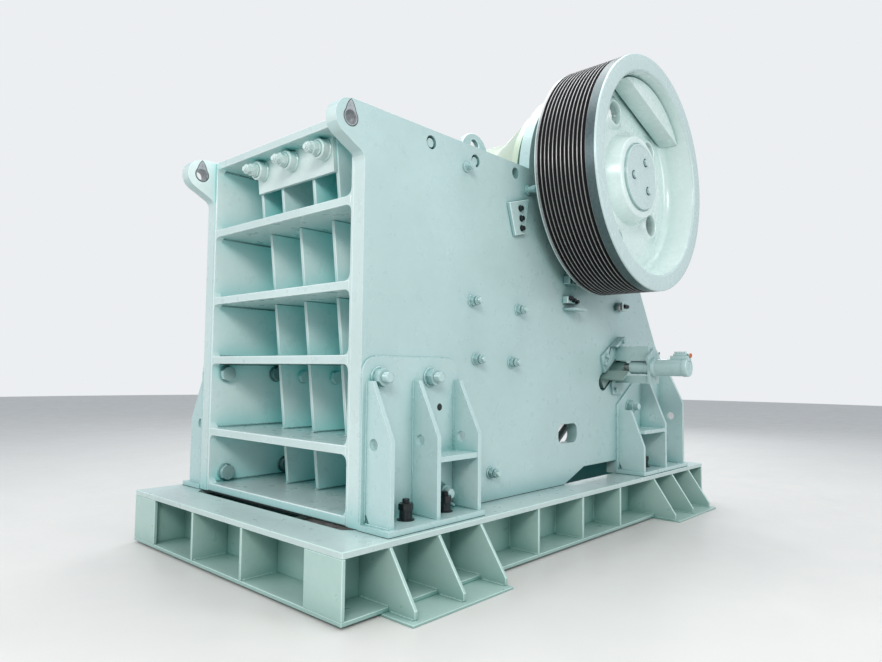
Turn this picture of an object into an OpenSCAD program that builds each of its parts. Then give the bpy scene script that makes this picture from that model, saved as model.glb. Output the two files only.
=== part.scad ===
// Large single-toggle jaw crusher on a welded skid base, drive sheave on the +X side.
// X runs across the machine, Y from the front (fixed jaw) to the rear, Z up from the floor.

/* [Base] */
// Length of the skid base, front to rear
base_length = 4932; // [4700:4:5200]
// Width of the skid base, without its outriggers
base_width = 2566; // [2450:2:2700]
// Height of the skid base
base_height = 405; // [360:1:460]
// Thickness of the top plate
base_top_t = 38; // [25:1:60]
// Thickness of the bottom plate
base_bottom_t = 25; // [16:1:40]
// Thickness of the foot plates under the bottom plate
foot_plate_t = 16; // [10:1:25]
// Thickness of the webs and stiffeners
base_web_t = 24; // [14:1:40]
// Width of the top plate between its front edge and the opening
base_end_land = 312; // [260:1:360]
// Distance of the side webs from the side edges
side_web_inset = 262; // [200:1:300]
// Distance of the end webs from the end edges
end_web_inset = 270; // [200:1:290]
// Width of the plates that close the ends at the corners
corner_plate_w = 340; // [280:1:380]
// Spacing of the two stiffeners of an end
end_stiffener_pitch = 635; // [600:1:660]
// Sideways shift of the end stiffeners
end_stiffener_shift = -43; // [-60:1:60]
// Spacing of the stiffeners of a side
side_stiffener_pitch = 627; // [600:1:640]

/* [Outriggers] */
// How far the outriggers reach past the side edges
outrigger_reach = 249; // [180:1:320]
// Distance from the end of the base to the first outrigger gusset
outrigger_end_gap = 353; // [300:1:420]
// Spacing of the outrigger gussets
outrigger_pitch = 407; // [380:1:470]
// Height of the upright nose of a gusset above the bottom plate
gusset_nose_h = 48; // [20:1:90]
// How far the foot plate runs past the outermost gusset
foot_plate_lip = 65; // [30:1:90]
// How far the foot plate runs past the innermost gusset
foot_plate_inner_lip = 18; // [14:1:90]

/* [Side plates] */
// Width over the side plates
frame_width = 1946; // [1900:2:2000]
// Thickness of a side plate
plate_t = 100; // [80:1:120]
// Distance from the front of the base to the front of the frame
frame_setback = 373; // [320:1:420]
// Height of the side plates above the base
plate_height = 2633; // [2560:1:2720]
// Radius of the front lifting ear
ear_r = 118; // [105:1:135]
// Distance of the ear hole in front of the frame
ear_reach = 117; // [90:1:140]
// Radius of the ear hole
ear_hole_r = 45; // [30:1:60]
// Radius of the raised round part about the shaft
hump_r = 838; // [780:1:860]
// Height of the cut-out over the base behind the chamber
cutout_h = 125; // [90:1:160]

/* [Front wall] */
// Thickness of the front wall behind the ribs
front_wall_t = 70; // [50:1:90]
// Lean of the front wall from upright, in degrees
front_wall_lean = 6; // [4:0.5:8]
// Depth of the front box at mid height
front_depth = 763; // [720:1:820]
// Thickness of the shelves
shelf_t = 58; // [45:1:70]
// Thickness of the upright ribs
rib_t = 34; // [24:1:45]
// Spacing of the upright ribs
rib_pitch = 385; // [360:1:400]
// Thickness of the cheeks that join the shelves to the side plates
cheek_flange_t = 28; // [20:1:40]

/* [Chamber] */
// Thickness of the jaw dies
die_t = 110; // [90:1:130]
// Lean of the moving die from upright, in degrees
moving_lean = 17; // [15:0.5:18]
// Closed side setting at the bottom of the chamber
closed_setting = 185; // [150:5:230]
// Thickness of the cheek plates
cheek_t = 40; // [30:1:45]

/* [Shaft] */
// Distance from the front of the frame to the shaft
shaft_back = 2603; // [2560:1:2650]
// Height of the shaft above the base
shaft_up = 2638; // [2600:1:2680]
// Radius of the main journals
journal_r = 160; // [130:1:190]
// Radius of the eccentric
eccentric_r = 235; // [215:1:260]
// Throw of the eccentric
throw = 20; // [14:1:24]
// Direction of the counterweights, in degrees from the rear
counterweight_angle = 72; // [60:1:84]
// Radial running gap of the journals
journal_gap = 0.08; // [0.04:0.01:0.1]

/* [Flywheels] */
// Outer radius of the flywheels
wheel_r = 987; // [940:1:1030]
// Width of the rims
wheel_w = 548; // [500:1:580]
// Thickness of the rims
rim_t = 143; // [120:1:160]
// Gap between a bearing housing and a rim
wheel_gap = 27; // [15:1:40]
// Thickness of the web
wheel_web_t = 62; // [45:1:80]
// Depth of the outer recess, from the rim face to the web
wheel_recess = 259; // [220:1:290]
// Radius of the hub
hub_r = 350; // [320:1:380]
// Radius of the five holes in the web
web_hole_r = 95; // [70:1:105]
// Number of belt grooves
grooves = 12; // [8:1:14]
// Pitch of the belt grooves
groove_pitch = 36; // [30:1:37]
// Depth of the belt grooves
groove_depth = 27; // [18:1:32]

/* [Bearings] */
// Radius of the bearing housing flange
housing_r = 430; // [400:1:470]
// How far a housing stands out of its side plate
housing_out = 122; // [100:1:140]

/* [Toggle] */
// Height of the wedge centre above the base
wedge_up = 1036; // [1010:1:1060]
// Distance of the wedge centre behind the frame front
wedge_back = 3215; // [3190:1:3240]
// Rise of the toggle towards the rear, in degrees
toggle_rise = 35; // [33:0.5:37]
// Length of the slot for the wedge
slot_len = 485; // [460:1:500]
// Width of the slot
slot_w = 158; // [150:1:168]
// Length of the toggle plate
toggle_len = 560; // [530:1:600]
// Thickness of the toggle plate
toggle_t = 80; // [60:1:100]
// How far a wedge sticks out of its side plate
wedge_out = 227; // [200:1:240]
// Outer radius of the wedge cylinders
cylinder_r = 78; // [65:1:82]

/* [Feet] */
// Width of the foot gussets at the base plate
foot_w = 240; // [210:1:260]
// Thickness of the foot gussets
foot_t = 34; // [25:1:45]
// Thickness of the back plates of the feet
foot_back_t = 16; // [10:1:30]
// Height of the front feet above the base
front_foot_h = 1050; // [980:1:1100]
// Spacing of the front foot gussets
front_foot_pitch = 403; // [380:1:430]
// Height of the rear feet above the base
rear_foot_h = 857; // [800:1:880]
// Spacing of the rear foot gussets
rear_foot_pitch = 470; // [430:1:490]
// Radius of a hold-down stud
stud_r = 25; // [20:1:34]

/* [Hidden] */
$fn = 96;

// Planes and centres that several pieces share
half_len = base_length / 2;
half_w = base_width / 2;
base_z = base_height;
front_y = -half_len + frame_setback;
plate_out = frame_width / 2;
plate_in = plate_out - plate_t;
plate_top = base_z + plate_height;
shaft_y = front_y + shaft_back;
shaft_z = base_z + shaft_up;
fit_gap = 0.3;
paint = [0.76, 0.86, 0.83];
paint_dark = [0.62, 0.76, 0.73];
steel = [0.42, 0.44, 0.45];

// Points of an arc, from angle a0 to a1, in n steps
function arc(cy, cz, r, a0, a1, n) =
  [for (i = [0:n]) let (a = a0 + (a1 - a0) * i / n) [cy + r * cos(a), cz + r * sin(a)]];

// A side view outline in Y and Z, given the thickness t in X, from x0 outward
module profile(x0, t) {
  translate([x0, 0, 0]) rotate([90, 0, 90]) linear_extrude(t) children();
}
// A cylinder along X from x0 to x1
module x_cyl(x0, x1, y, z, r) {
  translate([x0, y, z]) rotate([0, 90, 0]) cylinder(h = x1 - x0, r = r);
}
module both_sides() {
  children();
  mirror([1, 0, 0]) children();
}

// Base
opening_half = plate_out - 28;
base_y1 = half_len - base_end_land;
opening_chamfer = 60;
web_z0 = foot_plate_t + base_bottom_t;
web_z1 = base_z - base_top_t;
web_h = web_z1 - web_z0;
side_web_x = half_w - side_web_inset;
end_web_y = half_len - end_web_inset;
end_stiffener_x = [for (s = [-1, 1]) end_stiffener_shift + s * end_stiffener_pitch / 2];
side_stiffener_y = [for (i = [-1:1]) i * side_stiffener_pitch];
outrigger_y = [for (i = [0:2]) half_len - outrigger_end_gap - i * outrigger_pitch];
foot_plate_y0 = outrigger_y[2] - foot_plate_inner_lip;
foot_plate_y1 = outrigger_y[0] + foot_plate_lip;
outrigger_x = half_w + outrigger_reach;
gusset_nose_x = outrigger_x - 42;

module base_outline_2d() {
  x = opening_half;
  y = base_y1;
  c = opening_chamfer;
  difference() {
    square([base_width, base_length], center = true);
    polygon([[-x + c, -y], [x - c, -y], [x, -y + c], [x, y - c], [x - c, y], [-x + c, y],
      [-x, y - c], [-x, -y + c]]);
  }
}
module base_top_plate() {
  color(paint) translate([0, 0, web_z1]) linear_extrude(base_top_t) base_outline_2d();
}
module base_bottom_plate() {
  color(paint) translate([0, 0, foot_plate_t]) linear_extrude(base_bottom_t) base_outline_2d();
}
// Four plates under the bottom plate, one for each outrigger
module foot_plate() {
  translate([side_web_x, foot_plate_y0, 0])
    cube([outrigger_x - side_web_x, foot_plate_y1 - foot_plate_y0, foot_plate_t]);
}
module base_foot_plates() {
  color(paint) for (e = [0, 1]) mirror([0, e, 0]) both_sides() foot_plate();
}
module base_side_webs() {
  color(paint_dark) both_sides() translate([side_web_x - base_web_t, -half_len + base_web_t, web_z0])
    cube([base_web_t, base_length - 2 * base_web_t, web_h]);
}
module base_end_webs() {
  web_w = 2 * (side_web_x - base_web_t);
  color(paint_dark) for (e = [0, 1]) mirror([0, e, 0])
    translate([-web_w / 2, end_web_y - base_web_t, web_z0]) cube([web_w, base_web_t, web_h]);
}
module base_corner_plates() {
  color(paint) for (e = [0, 1]) mirror([0, e, 0]) both_sides()
    translate([half_w - corner_plate_w, half_len - base_web_t, web_z0])
      cube([corner_plate_w, base_web_t, web_h]);
}
module base_stiffeners() {
  color(paint) translate([0, 0, web_z0]) linear_extrude(web_h) {
    for (e = [-1, 1]) for (x = end_stiffener_x)
      translate([x, e * (half_len + end_web_y) / 2])
        square([base_web_t, half_len - end_web_y], center = true);
    for (s = [-1, 1]) for (y = side_stiffener_y)
      translate([s * (half_w + side_web_x) / 2, y])
        square([side_web_inset, base_web_t], center = true);
  }
}
// Inner part of a gusset stands on the bottom plate, its outer part on the foot plate
module outrigger_gusset() {
  rotate([90, 0, 0]) translate([0, 0, -base_web_t / 2]) linear_extrude(base_web_t)
    polygon([[side_web_x, web_z0], [half_w, web_z0], [half_w, foot_plate_t],
      [gusset_nose_x, foot_plate_t], [gusset_nose_x, foot_plate_t + gusset_nose_h],
      [half_w, web_z1], [side_web_x, web_z1]]);
}
module base_outrigger_gussets() {
  color(paint) for (e = [0, 1]) mirror([0, e, 0]) for (y = outrigger_y)
    translate([0, y, 0]) both_sides() outrigger_gusset();
}

// Front box
wall_mid_z = 1320;
function wall_y(z) = front_y + front_depth - (z - wall_mid_z) * tan(front_wall_lean);
wall_z0 = base_z + 3;
box_top = plate_top - 3;
flange_in = plate_in - cheek_flange_t;
shelf_z = [base_z + 36, base_z + 467, base_z + 1031, base_z + 1502, base_z + 2046, box_top - shelf_t / 2];
rib_front_lean = 6;
rib_setback = 360;
top_rib_x = [-470, -195, 195, 470];
function rib_y(z) = wall_y(z) - front_wall_t - rib_setback;
shelf_gap = 0.5;

module front_wall() {
  color(paint_dark) profile(-plate_in, 2 * plate_in) polygon([
    [wall_y(wall_z0) - front_wall_t, wall_z0], [wall_y(wall_z0), wall_z0],
    [wall_y(box_top), box_top], [wall_y(box_top) - front_wall_t, box_top]]);
}
module front_shelves() {
  color(paint) for (z = shelf_z) {
    z0 = z - shelf_t / 2;
    z1 = z + shelf_t / 2;
    profile(-flange_in, 2 * flange_in) polygon([[front_y, z0],
      [wall_y(z0) - front_wall_t, z0], [wall_y(z1) - front_wall_t, z1], [front_y, z1]]);
  }
}
// Five bays between the shelves, three ribs in each and four in the top one
module front_rib(x, bay) {
  z0 = shelf_z[bay] + shelf_t / 2;
  z1 = shelf_z[bay + 1] - shelf_t / 2;
  profile(x - rib_t / 2, rib_t) polygon([[rib_y(z0), z0], [wall_y(z0) - front_wall_t, z0],
    [wall_y(z1) - front_wall_t, z1], [rib_y(z1), z1]]);
}
module front_ribs() {
  color(paint) {
    for (bay = [0:3]) for (i = [-1:1]) front_rib(i * rib_pitch, bay);
    for (x = top_rib_x) front_rib(x, 4);
  }
}
module front_cheek_flanges() {
  color(paint) both_sides() profile(flange_in, cheek_flange_t) polygon([[front_y, wall_z0],
    [wall_y(wall_z0) - front_wall_t, wall_z0], [wall_y(box_top) - front_wall_t, box_top],
    [front_y, box_top]]);
}
// Plate in the top bay that takes the clamp bolts of the fixed die
bolt_plate_w = 940;
bolt_plate_z0 = shelf_z[4] + 289;
bolt_plate_z1 = shelf_z[5] - shelf_t / 2;
bolt_plate_t = 28;
function bolt_plate_y(z) = rib_y(z) - bolt_plate_t;
clamp_z = (bolt_plate_z0 + bolt_plate_z1) / 2 + 45;
clamp_pitch = 386;
clamp_r = 27;
clamp_boss_r = 70;
clamp_boss_l = 72;
clamp_nut_l = 44;
clamp_stud_out = 64;
// Frame of a clamp bolt: Z points out of the front, square to the leaning wall
module clamp_frames() {
  for (i = [-1:1]) translate([i * clamp_pitch, bolt_plate_y(clamp_z), clamp_z])
    rotate([90 + front_wall_lean, 0, 0]) children();
}
module jaw_bolt_plate() {
  color(paint) difference() {
    profile(-bolt_plate_w / 2, bolt_plate_w) polygon([
      [bolt_plate_y(bolt_plate_z0), bolt_plate_z0], [rib_y(bolt_plate_z0), bolt_plate_z0],
      [rib_y(bolt_plate_z1), bolt_plate_z1], [bolt_plate_y(bolt_plate_z1), bolt_plate_z1]]);
    clamp_frames() translate([0, 0, -100]) cylinder(h = 200, r = clamp_r);
  }
}
module jaw_clamp_bolts() {
  stud_in = (rib_setback + bolt_plate_t) * cos(front_wall_lean);
  color(steel) clamp_frames() {
    translate([0, 0, fit_gap]) cylinder(h = clamp_boss_l, r = clamp_boss_r);
    translate([0, 0, clamp_boss_l]) cylinder(h = clamp_nut_l, r = 50, $fn = 6);
    translate([0, 0, -stud_in]) cylinder(h = stud_in + clamp_boss_l + clamp_nut_l + clamp_stud_out,
      r = clamp_r - 1);
  }
}

// Side plates
ear_y = front_y - ear_reach;
ear_z = plate_top - ear_r - 5;
ear_slope = 29;
ear_fillet = 70;
ear_fillet_y = front_y - ear_fillet;
ear_low_y = ear_y - ear_r * sin(ear_slope);
ear_low_z = ear_z - ear_r * cos(ear_slope);
ear_run = ear_fillet_y + ear_fillet * sin(ear_slope) - ear_low_y;
ear_fillet_z = ear_low_z - ear_run * tan(ear_slope) - ear_fillet * cos(ear_slope);
hump_side = sqrt(pow(hump_r, 2) - pow(plate_top - shaft_z, 2));
hump_a0 = 180 - asin((plate_top - shaft_z) / hump_r);
rear_top_a = -18.5;
cutout_y0 = front_y + 2297;
cutout_y1 = cutout_y0 + 333;
cutout_y2 = front_y + 3225;
plate_rear_y = front_y + 4218;
rear_knee_z = base_z + 1165;
rear_slope_y = front_y + 4123;
rear_slope_z = base_z + 1226;
wedge_y = front_y + wedge_back;
wedge_z = base_z + wedge_up;
slot_u = -365 + slot_len / 2;
spy_y = front_y + 2359;
spy_z = base_z + 434;
spy_w = 300;
spy_h = 165;
spy_r = 60;

module side_plate_2d() {
  difference() {
    polygon(concat(
      [[front_y, base_z], [front_y, ear_fillet_z]],
      arc(ear_fillet_y, ear_fillet_z, ear_fillet, 0, 90 - ear_slope, 6),
      arc(ear_y, ear_z, ear_r, 270 - ear_slope, 90, 16),
      [[ear_y + 10, plate_top], [shaft_y - hump_side, plate_top]],
      arc(shaft_y, shaft_z, hump_r, hump_a0, rear_top_a, 36),
      [[rear_slope_y, rear_slope_z], [plate_rear_y, rear_knee_z], [plate_rear_y, base_z],
        [cutout_y2, base_z], [cutout_y2, base_z + cutout_h], [cutout_y1, base_z + cutout_h],
        [cutout_y0, base_z]]));
    translate([wedge_y, wedge_z]) rotate(toggle_rise) translate([slot_u, 0]) slot_2d(slot_len, slot_w);
    rounded_hole_2d();
  }
}
// A slot with round ends
module slot_2d(l, w) {
  square([l - w, w], center = true);
  for (e = [-1, 1]) translate([e * (l - w) / 2, 0]) circle(w / 2);
}
module rounded_hole_2d() {
  translate([spy_y, spy_z]) {
    square([spy_w, spy_h - 2 * spy_r], center = true);
    square([spy_w - 2 * spy_r, spy_h], center = true);
    for (s = [-1, 1]) for (e = [-1, 1])
      translate([s * (spy_w / 2 - spy_r), e * (spy_h / 2 - spy_r)]) circle(spy_r);
  }
}
port_y = front_y + 1581;
port_z = plate_top - 83;
port_r = 46;
spigot_r = 395;
module side_plate() {
  difference() {
    profile(plate_in, plate_t) side_plate_2d();
    x_cyl(plate_in - 1, plate_out + 1, ear_y, ear_z, ear_hole_r);
    x_cyl(plate_in - 1, plate_out + 1, port_y, port_z, port_r);
    x_cyl(plate_in - 1, plate_out + 1, shaft_y, shaft_z, spigot_r);
  }
}
module right_side_plate() {
  color(paint) side_plate();
}
module left_side_plate() {
  color(paint) mirror([1, 0, 0]) side_plate();
}
lug_r = 157;
lug_t = 45;
lug_y = front_y + 1188;
lug_z = plate_top;
lug_hole_r = 48;
module inner_lifting_lugs() {
  color(paint) both_sides() difference() {
    profile(plate_in - lug_t, lug_t) union() {
      translate([lug_y, lug_z]) circle(lug_r);
      translate([lug_y - lug_r, lug_z - 220]) square([2 * lug_r, 220]);
    }
    x_cyl(plate_in - lug_t - 1, plate_in + 1, lug_y, lug_z + 60, lug_hole_r);
  }
}

// Chamber
fixed_z0 = base_z + 330;
fixed_z1 = plate_top - 60;
die_w = 2 * (plate_in - cheek_t - 10);
die_side_gap = 30;
module fixed_jaw_die() {
  color(steel) profile(-die_w / 2, die_w) polygon([[wall_y(fixed_z0) + fit_gap, fixed_z0],
    [wall_y(fixed_z0) + die_t, fixed_z0], [wall_y(fixed_z1) + die_t, fixed_z1],
    [wall_y(fixed_z1) + fit_gap, fixed_z1]]);
}
// Face of the moving die, which leans rearward going up
moving_z0 = base_z + 355;
function moving_y(z) = wall_y(moving_z0) + die_t + closed_setting + (z - moving_z0) * tan(moving_lean);
moving_z1 = plate_top - 70;
moving_w = die_w - 2 * die_side_gap;
module moving_jaw_die() {
  color(steel) profile(-moving_w / 2, moving_w) polygon([[moving_y(moving_z0), moving_z0],
    [moving_y(moving_z0) + die_t, moving_z0], [moving_y(moving_z1) + die_t, moving_z1],
    [moving_y(moving_z1), moving_z1]]);
}
cheek_gap = 12;
cheek_split = base_z + 1260;
cheek_back = 260;
function cheek_rear(z) = min(moving_y(z) + cheek_back, shaft_y - housing_r - 260);
module cheek_plate(z0, z1) {
  profile(plate_in - cheek_t, cheek_t) polygon([[wall_y(z0) + cheek_gap, z0],
    [cheek_rear(z0), z0], [cheek_rear(z1), z1], [wall_y(z1) + cheek_gap, z1]]);
}
module upper_cheek_plates() {
  color(steel) both_sides() cheek_plate(cheek_split + cheek_gap, fixed_z1 - 240);
}
module lower_cheek_plates() {
  color(steel) both_sides() cheek_plate(fixed_z0, cheek_split);
}

// Shaft, flywheels and bearings
housing_x = plate_out + housing_out;
wheel_x0 = housing_x + wheel_gap;
wheel_x1 = wheel_x0 + wheel_w;
web_x1 = wheel_x1 - wheel_recess;
web_x0 = web_x1 - wheel_web_t;
hub_x0 = wheel_x0 + 20;
hub_x1 = wheel_x1 - 130;
hub_bore_r = journal_r - 20;
pitman_half = plate_in - cheek_t - 26;
ecc_dir = counterweight_angle + 180;
ecc_y = shaft_y + throw * cos(ecc_dir);
ecc_z = shaft_z + throw * sin(ecc_dir);
shaft_end = hub_x1 - 24;

module eccentric_shaft() {
  color(steel) {
    x_cyl(-pitman_half + 6, pitman_half - 6, ecc_y, ecc_z, eccentric_r);
    both_sides() x_cyl(pitman_half - 7, hub_x0, shaft_y, shaft_z, journal_r);
    both_sides() x_cyl(hub_x0 - 1, shaft_end, shaft_y, shaft_z, hub_bore_r);
  }
}
module bearing_housing() {
  inner_x = pitman_half + 14;
  difference() {
    union() {
      x_cyl(inner_x, plate_out + 1, shaft_y, shaft_z, spigot_r);
      x_cyl(plate_out, housing_x - 34, shaft_y, shaft_z, housing_r);
      x_cyl(housing_x - 35, housing_x, shaft_y, shaft_z, housing_r - 70);
    }
    x_cyl(inner_x - 1, housing_x + 1, shaft_y, shaft_z, journal_r + journal_gap);
  }
}
module right_bearing_housing() {
  color(paint_dark) bearing_housing();
}
module left_bearing_housing() {
  color(paint_dark) mirror([1, 0, 0]) bearing_housing();
}
// Rim, web and hub as one outline of radius over the shaft axis
rim_in = wheel_r - rim_t;
function groove_pts(x0) = [[wheel_r, x0 - groove_pitch * 0.36], [wheel_r - groove_depth, x0 - groove_pitch * 0.2],
  [wheel_r - groove_depth, x0 + groove_pitch * 0.2], [wheel_r, x0 + groove_pitch * 0.36]];
groove_x0 = 28 + groove_pitch * 0.5;
module wheel_2d(grooved) {
  w0 = web_x0 - wheel_x0;
  w1 = web_x1 - wheel_x0;
  h0 = hub_x0 - wheel_x0;
  h1 = hub_x1 - wheel_x0;
  fillet = 14;
  hub_flare = 50;
  rim_side = [for (i = [0:grooves - 1]) each groove_pts(groove_x0 + i * groove_pitch)];
  polygon(concat(
    [[hub_bore_r, h0], [hub_r - 20, h0], [hub_r, h0 + 20], [hub_r, w0 - fillet],
      [hub_r + fillet, w0], [rim_in - fillet, w0], [rim_in, w0 - fillet], [rim_in, 0], [wheel_r, 0]],
    grooved ? rim_side : [],
    [[wheel_r, wheel_w], [rim_in, wheel_w], [rim_in, w1 + fillet], [rim_in - fillet, w1],
      [hub_r + hub_flare, w1], [hub_r, h1 - 20], [hub_r - 20, h1], [hub_bore_r, h1]]));
}
web_hole_ring = 575;
web_hole_a = 38;
module flywheel(grooved) {
  difference() {
    translate([wheel_x0, shaft_y, shaft_z]) rotate([0, 90, 0])
      rotate_extrude() wheel_2d(grooved);
    for (i = [0:4]) let (a = web_hole_a + 72 * i)
      x_cyl(wheel_x0, wheel_x1, shaft_y + web_hole_ring * cos(a), shaft_z + web_hole_ring * sin(a), web_hole_r);
  }
}
module right_flywheel() {
  color(paint) flywheel(true);
}
module left_flywheel() {
  color(paint) mirror([1, 0, 0]) flywheel(false);
}
// Segment weight bolted inside the rim, with the chord towards the shaft
segment_r = rim_in - 16;
segment_chord = 645;
segment_t = 168;
module counterweight() {
  half = sqrt(pow(segment_r, 2) - pow(segment_chord, 2));
  a = atan2(half, segment_chord);
  difference() {
    translate([web_x1, shaft_y, shaft_z]) rotate([counterweight_angle, 0, 0])
      profile(0, segment_t) polygon(arc(0, 0, segment_r, -a, a, 24));
    for (s = [-1, 1]) translate([0, shaft_y, shaft_z]) rotate([counterweight_angle, 0, 0])
      x_cyl(web_x1 + segment_t - 60, web_x1 + segment_t + 1, segment_chord + 53, s * 190, 11);
  }
}
module counterweights() {
  color(paint) both_sides() counterweight();
}
cover_r = 280;
cover_t = 22;
module hub_covers() {
  color(paint) both_sides() x_cyl(hub_x1, hub_x1 + cover_t, shaft_y, shaft_z, cover_r);
}

// Pitman: flared head about the eccentric, body down to the jaw tip and the toggle seat
barrel_r = 577;
flare_x = 356;
flare_r = 775;
flare_end = 745;
seat_u0 = -440;
seat_gap = 26;
seat_u = seat_u0 - toggle_len - seat_gap;
seat_half = 120;
function slot_pt(u, v) = [wedge_y + u * cos(toggle_rise) - v * sin(toggle_rise),
  wedge_z + u * sin(toggle_rise) + v * cos(toggle_rise)];
pitman_z0 = moving_z0 - 30;
die_back = die_t + fit_gap;
pitman_front = die_t - 8;
pitman_back_a = -35;
die_seat_top = moving_z1 + 6;
lip_z = plate_top + 90;
lip_back = 12;
module pitman_2d() {
  polygon([[moving_y(lip_z) + lip_back, lip_z],
    [moving_y(die_seat_top - 1) + lip_back, die_seat_top - 1],
    [moving_y(die_seat_top - 1) + pitman_front, die_seat_top - 1],
    [moving_y(pitman_z0) + pitman_front, pitman_z0], slot_pt(seat_u, -seat_half - 60),
    slot_pt(seat_u, seat_half),
    [ecc_y + barrel_r * cos(pitman_back_a), ecc_z + barrel_r * sin(pitman_back_a)], [ecc_y, ecc_z],
    [ecc_y - barrel_r + 70, lip_z + 20]]);
}
module pitman() {
  color(paint) difference() {
    union() {
      profile(-pitman_half, 2 * pitman_half) pitman_2d();
      translate([-pitman_half, ecc_y, ecc_z]) rotate([0, 90, 0]) rotate_extrude() polygon([[0, 0],
        [flare_r, 0], [flare_r, pitman_half - flare_end], [barrel_r, pitman_half - flare_x],
        [barrel_r, pitman_half + flare_x], [flare_r, pitman_half + flare_end],
        [flare_r, 2 * pitman_half], [0, 2 * pitman_half]]);
    }
    x_cyl(-pitman_half - 1, pitman_half + 1, ecc_y, ecc_z, eccentric_r + journal_gap);
    profile(-pitman_half - 1, 2 * pitman_half + 2) polygon([[moving_y(pitman_z0 - 10) + die_back, pitman_z0 - 10],
      [moving_y(die_seat_top) + die_back, die_seat_top], [moving_y(die_seat_top) - barrel_r, die_seat_top],
      [moving_y(pitman_z0) - barrel_r, pitman_z0 - 10]]);
  }
}

// Toggle plate, its rear seat, and the two adjusting wedges in the slots.
// Local Y runs up along the toggle towards the rear, from the wedge centre.
toggle_w = 1240;
seat_w = 2 * (plate_in - fit_gap);
wedge_u0 = -316;
wedge_u1 = 45;
wedge_split = -178;
wedge_taper = 90;
wedge_v0 = -62;
wedge_v1 = 60;
wedge_tail_t = 18;
wedge_x0 = 12;
wedge_x1 = plate_out + wedge_out;
wedge_back_x = plate_out - 6;
wedge_head_x = plate_out + 110;
wedge_head_v = 18;
cyl_v = -25;
cyl_y = slot_pt(0, cyl_v)[0];
cyl_z = slot_pt(0, cyl_v)[1];
module in_slot(x0, t) {
  translate([x0, wedge_y, wedge_z]) rotate([toggle_rise, 0, 0]) profile(0, t) children();
}
module toggle_plate() {
  u0 = seat_u0 - toggle_len;
  color(steel) in_slot(-toggle_w / 2, toggle_w) union() {
    translate([u0 + toggle_t / 2 + 12, -toggle_t / 2]) square([toggle_len - toggle_t / 2 - 12, toggle_t]);
    translate([u0 + toggle_t / 2 + 12, 0]) circle(toggle_t / 2);
  }
}
// The seat is thickest in the middle, where the wedges are thinnest
module seat_plan_2d() {
  polygon([[-seat_w / 2, seat_u0], [seat_w / 2, seat_u0], [seat_w / 2, seat_face_u(seat_w / 2)],
    [wedge_x0, seat_face_u(wedge_x0)], [-wedge_x0, seat_face_u(wedge_x0)],
    [-seat_w / 2, seat_face_u(seat_w / 2)]]);
}
function seat_face_u(x) = wedge_u0 - fit_gap + wedge_taper * (1 - (x - wedge_x0) / (wedge_x1 - wedge_x0));
module toggle_seat() {
  color(paint_dark) translate([0, wedge_y, wedge_z]) rotate([toggle_rise, 0, 0])
    translate([0, 0, wedge_v0]) linear_extrude(wedge_v1 - wedge_v0) seat_plan_2d();
}
// A wedge tapers along X; outside it goes on as a flat tail beside the head that takes the rod
module wedge() {
  difference() {
    translate([0, wedge_y, wedge_z]) rotate([toggle_rise, 0, 0]) translate([0, 0, wedge_v0])
      linear_extrude(wedge_v1 - wedge_v0) polygon([[wedge_x0, wedge_u0 + wedge_taper],
        [wedge_x1, wedge_u0], [wedge_x1, wedge_split], [wedge_back_x, wedge_split],
        [wedge_back_x, wedge_u1], [wedge_x0, wedge_u1]]);
    in_slot(wedge_back_x + 1, wedge_out + 10)
      translate([wedge_u0 - 1, wedge_v0 - 1]) square([wedge_split - wedge_u0 + 3, wedge_v1 - wedge_tail_t - wedge_v0 + 1]);
  }
  in_slot(wedge_back_x - 1, wedge_head_x - wedge_back_x + 1)
    translate([wedge_split + 6, wedge_v0]) square([30 - wedge_split, wedge_head_v - wedge_v0]);
}
module right_wedge() {
  color(steel) wedge();
}
module left_wedge() {
  color(steel) mirror([1, 0, 0]) wedge();
}
// Outer ends of the cylinder assembly, measured from the side plate
arm_out = 385;
cyl_len = 335;
piston_r = 40;
sleeve_r = 60;
ring_r = cylinder_r + 8;
cap_r = cylinder_r + 5;
module wedge_cylinder() {
  x_cyl(wedge_head_x, plate_out + 190, cyl_y, cyl_z, piston_r);
  x_cyl(plate_out + 189, plate_out + arm_out, cyl_y, cyl_z, sleeve_r);
  x_cyl(plate_out + arm_out, plate_out + arm_out + 30, cyl_y, cyl_z, ring_r);
  x_cyl(plate_out + arm_out + 29, plate_out + arm_out + cyl_len, cyl_y, cyl_z, cylinder_r);
  x_cyl(plate_out + arm_out + cyl_len - 36, plate_out + arm_out + cyl_len + 4, cyl_y, cyl_z, cap_r);
}
module right_wedge_cylinder() {
  color(paint) wedge_cylinder();
}
module left_wedge_cylinder() {
  color(paint) mirror([1, 0, 0]) wedge_cylinder();
}
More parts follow.
